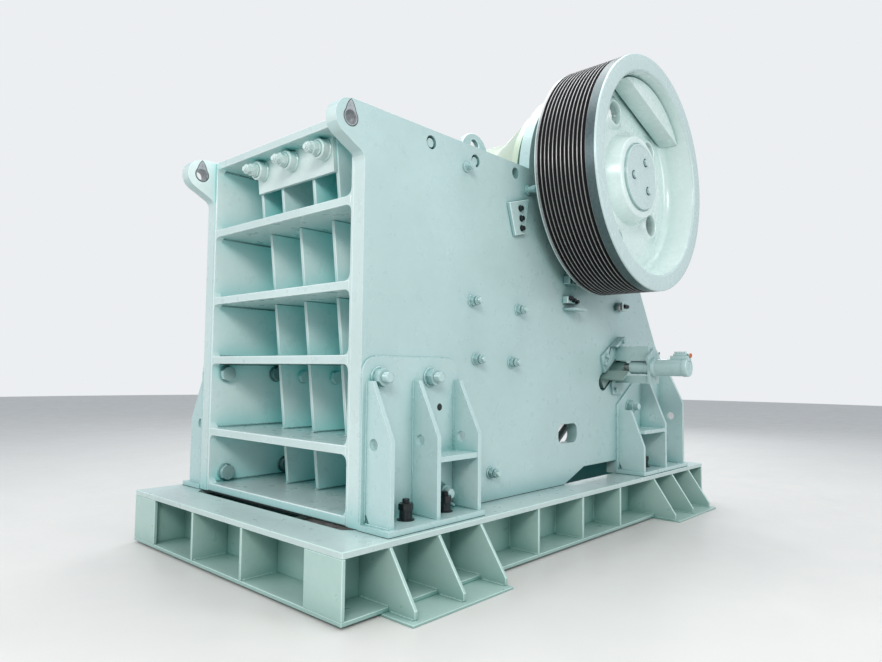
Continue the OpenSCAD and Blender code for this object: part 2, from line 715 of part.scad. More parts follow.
// Bracket: flange pads on the side plate, an upper channel, a lower bar and an end plate
pad_t = 22;
pad_edge_v = wedge_v1 + 8;
arm_top = cyl_z + 198;
arm_low = cyl_z + sleeve_r + 3;
bar_top = cyl_z - 80;
bar_low = cyl_z - 148;
low_pad_z = cyl_z - 104;
end_t = 26;
end_shoulder = arm_low + 22;
module cylinder_bracket() {
  profile(plate_out, pad_t) polygon([slot_pt(-240, 74), slot_pt(-190, pad_edge_v), slot_pt(10, pad_edge_v),
    [cyl_y + 160, arm_low], [cyl_y + 160, arm_top + 22], [cyl_y + 100, arm_top + 22],
    [cyl_y + 48, arm_top + 100], [cyl_y - 120, arm_top + 14], [cyl_y - 306, arm_low + 40],
    [cyl_y - 284, arm_low - 44]]);
  profile(plate_out, pad_t) polygon([[cyl_y - 118, low_pad_z - 34], [cyl_y - 92, bar_low - 110],
    [cyl_y + 95, bar_low - 110], [cyl_y + 160, bar_low - 40], [cyl_y + 160, low_pad_z],
    [cyl_y - 40, low_pad_z]]);
  profile(plate_out + pad_t, 58) polygon([[cyl_y - 140, arm_top + 2], [cyl_y - 115, arm_top - 12],
    [cyl_y + 72, arm_top + 84], [cyl_y + 48, arm_top + 100]]);
  arm_l = arm_out - pad_t - end_t;
  profile(plate_out + pad_t, arm_l) difference() {
    translate([cyl_y - 42, arm_low]) square([150, arm_top - arm_low]);
    translate([cyl_y - 16, arm_low + 26]) square([150, arm_top - arm_low - 52]);
  }
  profile(plate_out + pad_t, arm_l) translate([cyl_y - 42, bar_low]) square([150, bar_top - bar_low]);
  profile(plate_out + arm_out - end_t, end_t) difference() {
    polygon([[cyl_y - 76, bar_low], [cyl_y + 115, bar_low], [cyl_y + 150, end_shoulder],
      [cyl_y + 22, arm_top - 16], [cyl_y - 126, end_shoulder], [cyl_y - 76, cyl_z + 20]]);
    translate([cyl_y, cyl_z]) circle(sleeve_r + 1);
  }
}
module right_cylinder_bracket() {
  color(paint) cylinder_bracket();
}
module left_cylinder_bracket() {
  color(paint) mirror([1, 0, 0]) cylinder_bracket();
}

// Rear frame between the side plates: thrust plate, ribs and two closing plates
rear_t = 80;
rear_u0 = wedge_u1 + fit_gap;
rear_u1 = rear_u0 + 400;
rear_v = 330;
rear_rib_pitch = 350;
module rear_frame() {
  color(paint) {
    in_slot(-plate_in, 2 * plate_in) translate([rear_u0, -rear_v]) square([rear_t, 2 * rear_v]);
    for (e = [-1, 1]) in_slot(-plate_in, 2 * plate_in)
      translate([rear_u0 + rear_t - 1, e * (rear_v - 25) - 25]) square([rear_u1 - rear_u0 - rear_t, 50]);
    for (i = [-2:2]) in_slot(i * rear_rib_pitch - rib_t / 2, rib_t)
      translate([rear_u0 + rear_t - 1, -rear_v + 49]) square([300, 2 * rear_v - 98]);
    both_sides() rod_bracket();
  }
}
// Tension rods under the toggle, each with a spring and washers behind its bracket
rod_r = 32;
rod_v = -rear_v - 80;
rod_x = 1.5 * rear_rib_pitch;
rod_u0 = seat_u + 200;
rod_bracket_t = 34;
spring_r = 64;
spring_l = 230;
washer_r = 76;
washer_t = 24;
module tension_rods() {
  color(steel) both_sides() translate([rod_x, wedge_y, wedge_z]) rotate([toggle_rise, 0, 0])
    translate([0, rear_u0 + rod_bracket_t, rod_v]) rotate([-90, 0, 0]) {
      translate([0, 0, rod_u0 - rear_u0 - rod_bracket_t])
        cylinder(h = spring_l + 2 * washer_t + 110 + rear_u0 + rod_bracket_t - rod_u0, r = rod_r);
      cylinder(h = washer_t, r = washer_r);
      translate([0, 0, washer_t]) cylinder(h = spring_l, r = spring_r);
      translate([0, 0, washer_t + spring_l]) cylinder(h = washer_t, r = washer_r);
      translate([0, 0, 2 * washer_t + spring_l]) cylinder(h = 50, r = 56, $fn = 6);
    }
}
// Lug under the thrust plate that a tension rod passes through
module rod_bracket() {
  difference() {
    in_slot(rod_x - 90, 180) translate([rear_u0, rod_v - 75]) square([rod_bracket_t, 76 - rear_v - rod_v]);
    translate([rod_x, wedge_y, wedge_z]) rotate([toggle_rise, 0, 0])
      translate([0, rear_u0 - 1, rod_v]) rotate([-90, 0, 0]) cylinder(h = rod_bracket_t + 2, r = rod_r + 1);
  }
}

// Feet: back plate on the side plate, base plate on the skid, and gussets with holes
foot_x0 = plate_out;
foot_x1 = plate_out + foot_back_t;
foot_out = plate_out + foot_w;
rear_foot_out = foot_out + 37;
foot_hole_r = 38;
foot_hole_z = base_z + 515;
foot_corner = 100;
foot_base_t = 36;
notch_w = 45;
notch_h = 75;
// Outline in X and Z: a level top as far as the knee, then a slope down to the shoulder
module foot_gusset(y, out, knee, top, shoulder, hole_x, notched) {
  low = base_z + foot_base_t;
  inner = notched ? [[foot_x1, low + notch_h], [foot_x1 + notch_w, low]] : [[foot_x1, low]];
  translate([0, y + foot_t / 2, 0]) rotate([90, 0, 0]) difference() {
    linear_extrude(foot_t) polygon(concat(inner, [[out, low], [out, shoulder], [knee, top], [foot_x1, top]]));
    if (hole_x > 0) translate([hole_x, foot_hole_z, -1]) cylinder(h = foot_t + 2, r = foot_hole_r);
  }
}
module foot_back(y0, y1, top) {
  profile(foot_x0, foot_back_t) polygon(concat([[y0, base_z + foot_base_t]],
    arc(y0 + foot_corner, top - foot_corner, foot_corner, 180, 90, 8),
    arc(y1 - foot_corner, top - foot_corner, foot_corner, 90, 0, 8), [[y1, base_z + foot_base_t]]));
}
module foot_base(y0, y1, x1, stud_ys) {
  difference() {
    translate([foot_x0, y0, base_z]) cube([x1 - foot_x0, y1 - y0, foot_base_t]);
    for (y = stud_ys) translate([stud_x, y, base_z - 1]) cylinder(h = foot_base_t + 2, r = stud_r + 3);
  }
}
stud_x = plate_out + 108;
front_foot_y = [for (i = [0:2]) front_y + 50 + i * front_foot_pitch];
rear_foot_y = [front_y + 3265, front_y + 3265 + rear_foot_pitch, plate_rear_y - 60];
front_studs = [front_y + 292, front_y + 652];
rear_studs = [front_y + 3593, front_y + 4000];
foot_shelf_z = base_z + 385;
module foot_shelf(y0, y1, out) {
  translate([foot_x1, y0 + foot_t / 2, foot_shelf_z]) cube([out - foot_x1, y1 - y0 - foot_t, foot_t]);
}
front_foot_lip = 33;
front_gusset_drop = 150;
front_knee = plate_out + 64;
front_hole_x = plate_out + 86;
front_shoulder = base_z + front_foot_h * 0.52;
module front_foot() {
  y1 = front_foot_y[2] + foot_t / 2;
  foot_base(front_y - 8, y1, foot_out + front_foot_lip, front_studs);
  foot_back(front_y, y1, base_z + front_foot_h);
  for (i = [0:2]) foot_gusset(front_foot_y[i], foot_out, front_knee,
    base_z + front_foot_h - front_gusset_drop, front_shoulder, front_hole_x, i == 0);
  foot_shelf(front_foot_y[1], front_foot_y[2], foot_out - 6);
}
rear_foot_lip = 16;
rear_back_z = base_z + 656;
rear_slope_l = 313;
rear_gusset_top = [base_z + 605, base_z + 857, base_z + 990];
rear_gusset_knee = [plate_out + 147, plate_out + 116, plate_out + 119];
rear_gusset_shoulder = [base_z + 265, base_z + 463, base_z + 655];
rear_hole_x = plate_out + 147;
module rear_foot() {
  y0 = rear_foot_y[0] - foot_t;
  y1 = plate_rear_y;
  top = base_z + rear_foot_h;
  foot_base(y0 - 8, y1, rear_foot_out + rear_foot_lip, rear_studs);
  profile(foot_x0, foot_back_t) polygon([[y0, base_z + foot_base_t], [y0, rear_back_z], [y0 + rear_slope_l, top],
    [rear_foot_y[2] - 40, top], [rear_foot_y[2] - 20, rear_gusset_top[2]], [y1, rear_gusset_top[2]],
    [y1, base_z + foot_base_t]]);
  for (i = [0:2]) foot_gusset(rear_foot_y[i], rear_foot_out, rear_gusset_knee[i], rear_gusset_top[i],
    rear_gusset_shoulder[i], i > 0 ? rear_hole_x : 0, i == 0);
  foot_shelf(rear_foot_y[0], rear_foot_y[1], rear_foot_out - 6);
}
module front_right_foot() {
  color(paint) front_foot();
}
module front_left_foot() {
  color(paint) mirror([1, 0, 0]) front_foot();
}
module rear_right_foot() {
  color(paint) rear_foot();
}
module rear_left_foot() {
  color(paint) mirror([1, 0, 0]) rear_foot();
}
// Studs with sleeve and nut through each foot and the top plate of the base
sleeve_out = 42;
sleeve_h = 62;
hold_nut_out = 49;
hold_nut_h = 42;
hold_stud_h = 132;
module hold_down_bolts() {
  color([0.08, 0.09, 0.1]) both_sides() for (y = concat(front_studs, rear_studs)) translate([stud_x, y, 0]) {
    translate([0, 0, base_z + foot_base_t]) cylinder(h = sleeve_h, r = sleeve_out);
    translate([0, 0, base_z + foot_base_t + sleeve_h - 1]) cylinder(h = hold_nut_h + 1, r = hold_nut_out, $fn = 6);
    translate([0, 0, base_z + 2]) cylinder(h = foot_base_t + hold_stud_h, r = stud_r);
  }
}
// Pads that take the flywheel guard
guard_pad_t = 32;
module guard_brackets() {
  color(paint) both_sides() {
    profile(plate_out, guard_pad_t) polygon([[front_y + 1461, base_z + 2287], [front_y + 1724, base_z + 2362],
      [front_y + 1670, base_z + 2069], [front_y + 1543, base_z + 2037]]);
    translate([plate_out, front_y + 2270, base_z + 1560]) cube([55, 190, 60]);
    translate([plate_out, front_y + 3225, base_z + 1565]) cube([80, 110, 80]);
    translate([plate_out, front_y + 2290, base_z + 1730]) cube([60, 150, 70]);
  }
}

base_top_plate();
base_bottom_plate();
base_foot_plates();
base_side_webs();
base_end_webs();
base_corner_plates();
base_stiffeners();
base_outrigger_gussets();
front_wall();
front_shelves();
front_ribs();
front_cheek_flanges();
jaw_bolt_plate();
jaw_clamp_bolts();
right_side_plate();
left_side_plate();
inner_lifting_lugs();
rear_frame();
fixed_jaw_die();
upper_cheek_plates();
lower_cheek_plates();
right_bearing_housing();
left_bearing_housing();
eccentric_shaft();
right_flywheel();
left_flywheel();
counterweights();
hub_covers();
pitman();
moving_jaw_die();
toggle_plate();
toggle_seat();
right_wedge();
left_wedge();
right_wedge_cylinder();
left_wedge_cylinder();
right_cylinder_bracket();
left_cylinder_bracket();
tension_rods();
front_right_foot();
front_left_foot();
rear_right_foot();
rear_left_foot();
hold_down_bolts();
guard_brackets();
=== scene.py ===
import bpy
import bmesh
import math
from mathutils import Matrix, Vector, noise


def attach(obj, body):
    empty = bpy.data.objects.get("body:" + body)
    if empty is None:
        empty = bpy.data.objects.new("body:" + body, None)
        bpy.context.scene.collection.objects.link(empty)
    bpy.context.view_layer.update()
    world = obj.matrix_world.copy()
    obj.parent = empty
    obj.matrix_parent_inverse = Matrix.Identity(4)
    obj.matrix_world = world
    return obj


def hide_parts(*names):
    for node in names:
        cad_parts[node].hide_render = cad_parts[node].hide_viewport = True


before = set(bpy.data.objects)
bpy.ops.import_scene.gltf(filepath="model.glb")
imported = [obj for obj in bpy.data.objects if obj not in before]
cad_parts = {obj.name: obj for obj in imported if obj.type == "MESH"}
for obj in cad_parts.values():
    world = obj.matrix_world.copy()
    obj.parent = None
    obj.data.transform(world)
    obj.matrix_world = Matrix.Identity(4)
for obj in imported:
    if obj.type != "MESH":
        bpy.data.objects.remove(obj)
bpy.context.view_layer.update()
RAD = math.radians

# ------------------------------------------------------------------ main sizes, in metres
SHAFT_Y, SHAFT_Z = 0.510, 3.043
PLATE_OUT, PLATE_IN = 0.973, 0.873
FRONT_Y = -2.093
BASE_Z = 0.405
WHEEL_X0, WHEEL_X1, WHEEL_R = 1.122, 1.670, 0.987
RIM_IN = 0.844
WEB_X0, WEB_X1 = 1.349, 1.411
HUB_R = 0.350
HUB_COVER_X = 1.5395
GROOVES, GROOVE_PITCH = 12, 0.036
WHEEL_SEGMENTS = 256
WEB_HOLE_R, WEB_HOLE_PITCH_R = 0.095, 0.575
WEB_HOLES = [(WEB_HOLE_PITCH_R * math.cos(RAD(38 + 72 * i)), WEB_HOLE_PITCH_R * math.sin(RAD(38 + 72 * i)))
             for i in range(5)]
WEIGHT_R, WEIGHT_CHORD, WEIGHT_DEPTH, WEIGHT_ANGLE = 0.828, 0.645, 0.168, RAD(72)
WEB_END = 2.184
WALL_LEAN = RAD(6)
SHELVES = [(0.412, 0.470), (0.843, 0.901), (1.407, 1.465), (1.878, 1.936), (2.422, 2.480), (2.977, 3.035)]
BAY_HALF = 0.845
CLAMP_Z = (2.740 + 2.977) / 2 + 0.045
FOOT_PLATE_T = 0.016
COUNTERBORES = ((-1.493, 2.947), (-1.014, 2.933))
EAR_Y, EAR_Z, EAR_RING = -2.210, 2.915, 0.058
CYL_Y, CYL_Z, PAD_T = 1.136, 1.420, 0.022
PX = (1, 0, 0)


def wall_front(z):
    """Front face of the leaning front wall at a height."""
    return -1.400 - (z - 1.320) * math.tan(WALL_LEAN)


# ------------------------------------------------------------------ materials
def nodes_of(mat):
    mat.use_nodes = True
    nt = mat.node_tree
    nt.nodes.clear()
    out = nt.nodes.new("ShaderNodeOutputMaterial")
    bsdf = nt.nodes.new("ShaderNodeBsdfPrincipled")
    nt.links.new(bsdf.outputs[0], out.inputs[0])
    return nt, bsdf


def add(nt, kind, **props):
    n = nt.nodes.new(kind)
    for k, v in props.items():
        setattr(n, k, v)
    return n


def noise_node(nt, coord, scale, detail=3.0, rough=0.5, stretch=None):
    n = add(nt, "ShaderNodeTexNoise")
    n.inputs["Scale"].default_value = scale
    n.inputs["Detail"].default_value = detail
    n.inputs["Roughness"].default_value = rough
    if stretch:
        m = add(nt, "ShaderNodeMapping")
        m.inputs["Scale"].default_value = stretch
        nt.links.new(coord, m.inputs["Vector"])
        coord = m.outputs[0]
    nt.links.new(coord, n.inputs["Vector"])
    return n.outputs["Fac"]


def ramp(nt, fac, stops):
    r = add(nt, "ShaderNodeValToRGB")
    el = r.color_ramp.elements
    while len(el) < len(stops):
        el.new(0.5)
    for e, (p, c) in zip(el, stops):
        e.position = p
        e.color = c if len(c) == 4 else (*c, 1)
    nt.links.new(fac, r.inputs[0])
    return r.outputs[0]


def grey(v):
    return (v, v, v, 1)


def mix(nt, fac, a, b, mode="MIX"):
    m = add(nt, "ShaderNodeMix", data_type="RGBA", blend_type=mode)
    for sock, v in ((m.inputs[0], fac), (m.inputs[6], a), (m.inputs[7], b)):
        if isinstance(v, bpy.types.NodeSocket):
            nt.links.new(v, sock)
        elif isinstance(v, (int, float)):
            sock.default_value = v
        else:
            sock.default_value = v if len(v) == 4 else (*v, 1)
    return m.outputs[2]


def bump(nt, height, strength, distance, normal=None):
    b = add(nt, "ShaderNodeBump")
    b.inputs["Strength"].default_value = strength
    b.inputs["Distance"].default_value = distance
    nt.links.new(height, b.inputs["Height"])
    if normal is not None:
        nt.links.new(normal, b.inputs["Normal"])
    return b.outputs[0]


def paint(name, base, painted_shade, rough=0.30, cast=0.0, coat=0.35, stains=0.10, shade_distance=0.22, far_painted_shade=None):
    """Thick gloss paint: slow colour drift, soft dust, orange peel and plate waves, with painted shade: where
    ambient occlusion finds corners, creases and hollows, the colour is mixed towards a shade colour, once over a
    short distance and once over 1.1 m.
    """
    mat = bpy.data.materials.new(name)
    nt, b = nodes_of(mat)
    co = add(nt, "ShaderNodeTexCoord").outputs["Object"]
    drift = noise_node(nt, co, 0.9, 3.0, 0.55)
    drift = ramp(nt, drift, [(0.35, grey(0)), (0.68, grey(1))])
    c = mix(nt, drift, [v * 0.94 for v in base], [min(1, v * 1.05) for v in base])
    fine = noise_node(nt, co, 22.0, 4.0, 0.6)
    c = mix(nt, ramp(nt, fine, [(0.42, grey(0)), (0.75, grey(0.30))]), c, [v * 0.88 for v in base])
    blot = noise_node(nt, co, 2.6, 4.0, 0.55)
    c = mix(nt, ramp(nt, blot, [(0.52, grey(0)), (0.80, grey(stains))]), c, [v * 0.72 for v in base])
    # painted shade: two ambient occlusion passes mix the colour towards the shade colours in corners and hollows
    for dist, shade_colour, lo, hi, top in ((shade_distance, painted_shade, 0.15, 0.86, 0.92), (1.1, far_painted_shade, 0.02, 0.40, 0.95)):
        if shade_colour:
            ao = add(nt, "ShaderNodeAmbientOcclusion", samples=6, inside=False)
            ao.inputs["Distance"].default_value = dist
            c = mix(nt, ramp(nt, ao.outputs["AO"], [(lo, grey(top)), (hi, grey(0))]), c, shade_colour)
    nt.links.new(c, b.inputs["Base Color"])
    r = ramp(nt, noise_node(nt, co, 9.0, 3.0), [(0.3, grey(rough * 0.8)), (0.75, grey(min(1, rough * 1.45)))])
    nt.links.new(r, b.inputs["Roughness"])
    wave = noise_node(nt, co, 3.2 if cast else 1.8, 2.0)
    n = bump(nt, wave, 0.35 + 0.4 * cast, 0.012 + 0.012 * cast)
    peel = noise_node(nt, co, 160.0 - 70 * cast, 2.0)
    n = bump(nt, peel, 0.10 + 0.25 * cast, 0.0012 + 0.002 * cast, n)
    nt.links.new(n, b.inputs["Normal"])
    b.inputs["Coat Weight"].default_value = coat
    b.inputs["Coat Roughness"].default_value = 0.16
    b.inputs["IOR"].default_value = 1.5
    return mat


def steel(name, dark, light, rough=0.35, lines=None, metallic=1.0, rust=0.0):
    """Worked steel; lines stretches the grain along the cut of the tool."""
    mat = bpy.data.materials.new(name)
    nt, b = nodes_of(mat)
    co = add(nt, "ShaderNodeTexCoord").outputs["Object"]
    grain = noise_node(nt, co, 60.0, 4.0, 0.6, lines)
    c = mix(nt, grain, dark, light)
    if rust:
        spot = noise_node(nt, co, 7.0, 6.0, 0.65)
        c = mix(nt, ramp(nt, spot, [(0.52, grey(0)), (0.70, grey(rust))]), c, (0.19, 0.085, 0.04))
    nt.links.new(c, b.inputs["Base Color"])
    rr = ramp(nt, grain, [(0.2, grey(rough * 0.75)), (0.8, grey(min(1, rough * 1.3)))])
    nt.links.new(rr, b.inputs["Roughness"])
    nt.links.new(bump(nt, grain, 0.25, 0.0008), b.inputs["Normal"])
    b.inputs["Metallic"].default_value = metallic
    return mat


M = {}
# shade colours painted into corners and, further out, into large hollows
SHADE_TEAL, FAR_SHADE_TEAL = (0.075, 0.30, 0.29), (0.008, 0.075, 0.075)
M["paint"] = paint("frame_paint", (0.425, 0.565, 0.560), SHADE_TEAL, far_painted_shade=FAR_SHADE_TEAL)
# a lighter paint for the bevels of plates: painted highlight along their edges
M["edge"] = paint("painted_highlight_edge_paint", (0.66, 0.755, 0.75), SHADE_TEAL, rough=0.22, stains=0.0)
# a lighter copy of the frame paint for the inside of the front box and the side plates: painted light for the bays,
# with a bright teal as its painted shade
M["lit_inner"] = paint("inner_paint_with_painted_light", (0.72, 0.83, 0.82), (0.09, 0.66, 0.64), shade_distance=0.32)
# a lighter copy of the frame paint for the front box: painted light, with a bright teal as its painted shade
M["front"] = paint("front_box_lit_paint", (0.52, 0.63, 0.62), (0.07, 0.50, 0.48), shade_distance=0.30)
M["clamp"] = paint("clamp_plate_paint", (0.62, 0.72, 0.70), (0.30, 0.55, 0.53), shade_distance=0.10)
# the top faces of the base in a lighter copy of its paint: painted light from above
M["base_lit_top"] = paint("base_lit_top_paint", (0.46, 0.565, 0.55), (0.05, 0.22, 0.20), rough=0.32, shade_distance=0.20)
# the base paint darker than the frame's, for the shade on its upright faces: painted shade
M["base"] = paint("base_paint", (0.37, 0.52, 0.475), (0.06, 0.22, 0.19), rough=0.34, shade_distance=0.26)
# near-black teal for the inward faces of the base webs: painted shade
M["inner_painted_shade"] = paint("inner_painted_shade_paint", (0.030, 0.19, 0.19), (0.008, 0.07, 0.07), rough=0.34, shade_distance=0.30)
# a lighter paint for the bevels of the base: painted highlight along its edges
M["base_highlight_edge"] = paint("base_highlight_edge_paint", (0.52, 0.68, 0.64), (0.10, 0.24, 0.21), rough=0.28, stains=0.0)
M["cast"] = paint("casting_paint", (0.50, 0.63, 0.61), (0.12, 0.34, 0.32), rough=0.26, cast=0.6)
M["pitman"] = paint("swing_jaw_paint", (0.46, 0.56, 0.44), (0.14, 0.27, 0.21), rough=0.32, cast=0.9)
# the frame paint with only short painted shade and none over large hollows, so that the feet come out lighter where
# they stand in shade: painted light
M["foot"] = paint("foot_paint", (0.43, 0.57, 0.565), (0.15, 0.42, 0.40), shade_distance=0.14)
# a lighter copy of the wheel paint for the recessed web, hub and counterweights: painted light in the recess
M["wheel_lit_recess"] = paint("wheel_recess_lit_paint", (0.66, 0.77, 0.745), (0.20, 0.42, 0.40),
                      rough=0.24, cast=0.12, coat=0.4, stains=0.0)
M["wheel"] = paint("wheel_paint", (0.49, 0.605, 0.60), (0.17, 0.37, 0.35),
                   rough=0.24, cast=0.12, coat=0.4, stains=0.0)
M["wedge"] = paint("wedge_paint", (0.24, 0.33, 0.30), (0.04, 0.14, 0.13), rough=0.36)
M["groove"] = steel("groove_steel", (0.004, 0.004, 0.005), (0.012, 0.012, 0.013), 0.70, metallic=0.0)
M["land"] = steel("groove_land_steel", (0.10, 0.10, 0.105), (0.46, 0.455, 0.45), 0.34, metallic=0.5)
M["turned"] = steel("turned_steel", (0.035, 0.06, 0.065), (0.13, 0.17, 0.175), 0.34, metallic=0.5)
M["bare"] = steel("bare_steel", (0.20, 0.22, 0.24), (0.52, 0.54, 0.56), 0.30, metallic=0.35)
M["steel"] = steel("machined_steel", (0.20, 0.20, 0.20), (0.42, 0.42, 0.41), 0.36, (20, 1, 1), rust=0.15)
M["die"] = steel("die_steel", (0.07, 0.07, 0.072), (0.20, 0.19, 0.18), 0.55, metallic=0.85, rust=0.5)
M["black"] = steel("black_steel", (0.002, 0.004, 0.005), (0.009, 0.014, 0.016), 0.30, metallic=0.0)
# near-black for holes, gaps and the undersides of heads: painted shade
M["dark"] = steel("painted_hollow_shade", (0.008, 0.012, 0.012), (0.02, 0.03, 0.03), 0.8, metallic=0.0)
M["orange"] = paint("orange_ring", (0.75, 0.16, 0.03), (0.3, 0.05, 0.01), rough=0.4, stains=0.0)


# ------------------------------------------------------------------ mesh helpers
def put(name, bm, mats, body, smooth, replaces=None):
    me = bpy.data.meshes.new(name)
    bm.normal_update()
    bm.to_mesh(me)
    bm.free()
    for m in (mats if isinstance(mats, (list, tuple)) else [mats]):
        me.materials.append(m)
    if smooth:
        me.shade_smooth()
        me.set_sharp_from_angle(angle=RAD(smooth))
    o = bpy.data.objects.new(name, me)
    bpy.context.scene.collection.objects.link(o)
    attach(o, body)
    if replaces:
        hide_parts(*([replaces] if isinstance(replaces, str) else replaces))
    return o


def dress(node, mat, width, body="frame", edge=None):
    """A copy of a plate node with its edges broken, so that they catch the light; on painted plates the bevels take
    a lighter paint, a painted highlight.
    """
    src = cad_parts[node]
    bm = bmesh.new()
    bm.from_mesh(src.data)
    bmesh.ops.remove_doubles(bm, verts=bm.verts, dist=2e-5)
    bmesh.ops.dissolve_limit(bm, angle_limit=RAD(1.0), verts=bm.verts, edges=bm.edges)
    for f in bm.faces:
        f.material_index = 0
    mats = [mat, edge or mat]
    ends = []
    if node in ("right_side_plate", "left_side_plate"):
        ends = [f for f in bm.faces if f.normal.y < -0.9 and f.calc_center_median().y < FRONT_Y + 0.013]
    if node in INWARD_LIGHT_AND_SHADE:
        mats.append(M[INWARD_LIGHT_AND_SHADE[node][0]])
        if node == "base_side_webs":
            # cut where the end webs begin, so that the outer pockets keep their own paint and not the painted shade
            # of the inside
            for e in (-1, 1):
                geo = bm.verts[:] + bm.edges[:] + bm.faces[:]
                bmesh.ops.bisect_plane(bm, geom=geo, plane_co=(0, e * WEB_END, 0), plane_no=(0, 1, 0))
        # inward faces take slot 2: painted light or painted shade
        for f in bm.faces:
            c = f.calc_center_median()
            k = INWARD_LIGHT_AND_SHADE[node][1]
            inward = abs(f.normal[k]) > 0.9 and (c[k] * f.normal[k] < 0 or INWARD_LIGHT_AND_SHADE[node][2] == EVERYWHERE)
            if inward and abs(c[k]) < INWARD_LIGHT_AND_SHADE[node][2] and (node != "base_side_webs" or abs(c.y) < WEB_END):
                f.material_index = 2
    # the front ends of the side plates take the front box's lighter paint: painted light
    if ends:
        mats.append(M["front"])
        for f in ends:
            f.material_index = len(mats) - 1
    o = put(node + "_edged", bm, mats, body, smooth=0, replaces=node)
    o.data.shade_smooth()
    b = o.modifiers.new("edges", "BEVEL")
    b.width = width
    b.segments = 2
    b.limit_method = "ANGLE"
    b.angle_limit = RAD(32)
    b.use_clamp_overlap = True
    # slot 1 on the bevels: a lighter paint on painted plates, a painted highlight along the edges; black steel on
    # the wedges
    b.material = 1
    w = o.modifiers.new("normals", "WEIGHTED_NORMAL")
    w.keep_sharp = False
    w.weight = 80


def frame_of(axis, up=(0, 0, 1)):
    """Rotation whose Z is the axis."""
    z = Vector(axis).normalized()
    x = Vector(up).cross(z)
    if x.length < 1e-4:
        x = Vector((1, 0, 0))
    x.normalize()
    return Matrix((x, z.cross(x), z)).transposed().to_4x4()


def at(pos, axis=(1, 0, 0), up=(0, 0, 1)):
    return Matrix.Translation(Vector(pos)) @ frame_of(axis, up)


def turned(bm, prof, mtx, n=32, mat=0):
    """Adds a turned solid: prof is a list of (r, h) along the local Z axis."""
    rings = []
    for r, h in prof:
        if r < 1e-6:
            rings.append([bm.verts.new(mtx @ Vector((0, 0, h)))])
        else:
            turn = [2 * math.pi * i / n for i in range(n)]
            rings.append([bm.verts.new(mtx @ Vector((r * math.cos(a), r * math.sin(a), h))) for a in turn])
    for a, b in zip(rings, rings[1:]):
        for i in range(n):
            j = (i + 1) % n
            if len(a) == 1 and len(b) == 1:
                continue
            if len(a) == 1:
                f = bm.faces.new((a[0], b[i], b[j]))
            elif len(b) == 1:
                f = bm.faces.new((a[i], b[0], a[j]))
            else:
                f = bm.faces.new((a[i], b[i], b[j], a[j]))
            f.material_index = mat


def rod(bm, mtx, r, h0, h1, n, mat=0):
    """A closed round bar or disc."""
    turned(bm, [(0, h0), (r, h0), (r, h1), (0, h1)], mtx, n, mat)


def washer(bm, mtx, r, h, n):
    turned(bm, [(0, 0), (r, 0), (r, h - 0.003), (r - 0.003, h), (0, h)], mtx, n)


def hexagon(bm, mtx, r, h0, h1, turn, mat=0):
    """A nut or bolt head: six sides, its corners turned down at both ends."""
    n = 24

    def ring(h, rr, hexed):
        out = []
        for i in range(n):
            a = 2 * math.pi * i / n + turn
            if hexed:
                k = (a - turn) % (math.pi / 3) - math.pi / 6
                q = rr * math.cos(math.pi / 6) / math.cos(k)
            else:
                q = rr
            out.append(bm.verts.new(mtx @ Vector((q * math.cos(a), q * math.sin(a), h))))
        return out

    d = r * 0.12
    c = r * 0.90
    levels = [ring(h0, c, False), ring(h0 + d, r, True), ring(h1 - d, r, True), ring(h1, c, False)]
    for a, b in zip(levels, levels[1:]):
        for i in range(n):
            f = bm.faces.new((a[i], a[(i + 1) % n], b[(i + 1) % n], b[i]))
            f.material_index = mat
    for lv, flip in ((levels[0], True), (levels[-1], False)):
        f = bm.faces.new(lv[::-1] if flip else lv)
        f.material_index = mat


def thread(bm, mtx, r, h0, h1, pitch):
    prof = [(0, h0), (r * 0.93, h0)]
    h = h0
    while h < h1 - pitch:
        prof += [(r * 0.93, h + pitch * 0.1), (r, h + pitch * 0.5), (r * 0.93, h + pitch * 0.9)]
        h += pitch
    prof += [(r * 0.93, h1 - 0.003), (r * 0.80, h1), (0, h1)]
    turned(bm, prof, mtx, 20)


def bolt(bm, pos, axis, r, head, thick):
    """A hexagon head of height head on a washer."""
    m = at(pos, axis)
    w = r * 1.25
    turned(bm, [(0, 0), (w, 0), (w, thick * 0.7), (w - 0.002, thick), (0, thick)], m, 32)
    hexagon(bm, m, r, thick, thick + head, 0.3)


def weld(bm, pts, r, seed):
    """A bead of ripples along a line of points."""
    pts = [Vector(p) for p in pts]
    for a, b in zip(pts, pts[1:]):
        d = b - a
        n = max(2, int(d.length / 0.011))
        m = frame_of(d)
        prev = None
        for i in range(n + 1):
            t = i / n
            p = a + d * t
            k = noise.noise(Vector((seed * 7.3, p.x * 31 + p.z * 17, p.y * 31)))
            rr = r * (1.0 + 0.20 * math.sin(i * 2.1 + seed) + 0.25 * k)
            if i in (0, n):
                rr *= 0.4
            six = [Vector((rr * math.cos(math.pi * j / 3), rr * math.sin(math.pi * j / 3), 0)) for j in range(6)]
            ring = [bm.verts.new(p + m.to_3x3() @ v) for v in six]
            if prev:
                for j in range(6):
                    bm.faces.new((prev[j], prev[(j + 1) % 6], ring[(j + 1) % 6], ring[j]))
            prev = ring


def prism(bm, pts, x0, x1):
    """A side view outline in (y, z), swept in X."""
    a = [bm.verts.new((x0, y, z)) for y, z in pts]
    b = [bm.verts.new((x1, y, z)) for y, z in pts]
    bm.faces.new(a[::-1])
    bm.faces.new(b)
    for i in range(len(pts)):
        j = (i + 1) % len(pts)
        bm.faces.new((a[i], a[j], b[j], b[i]))


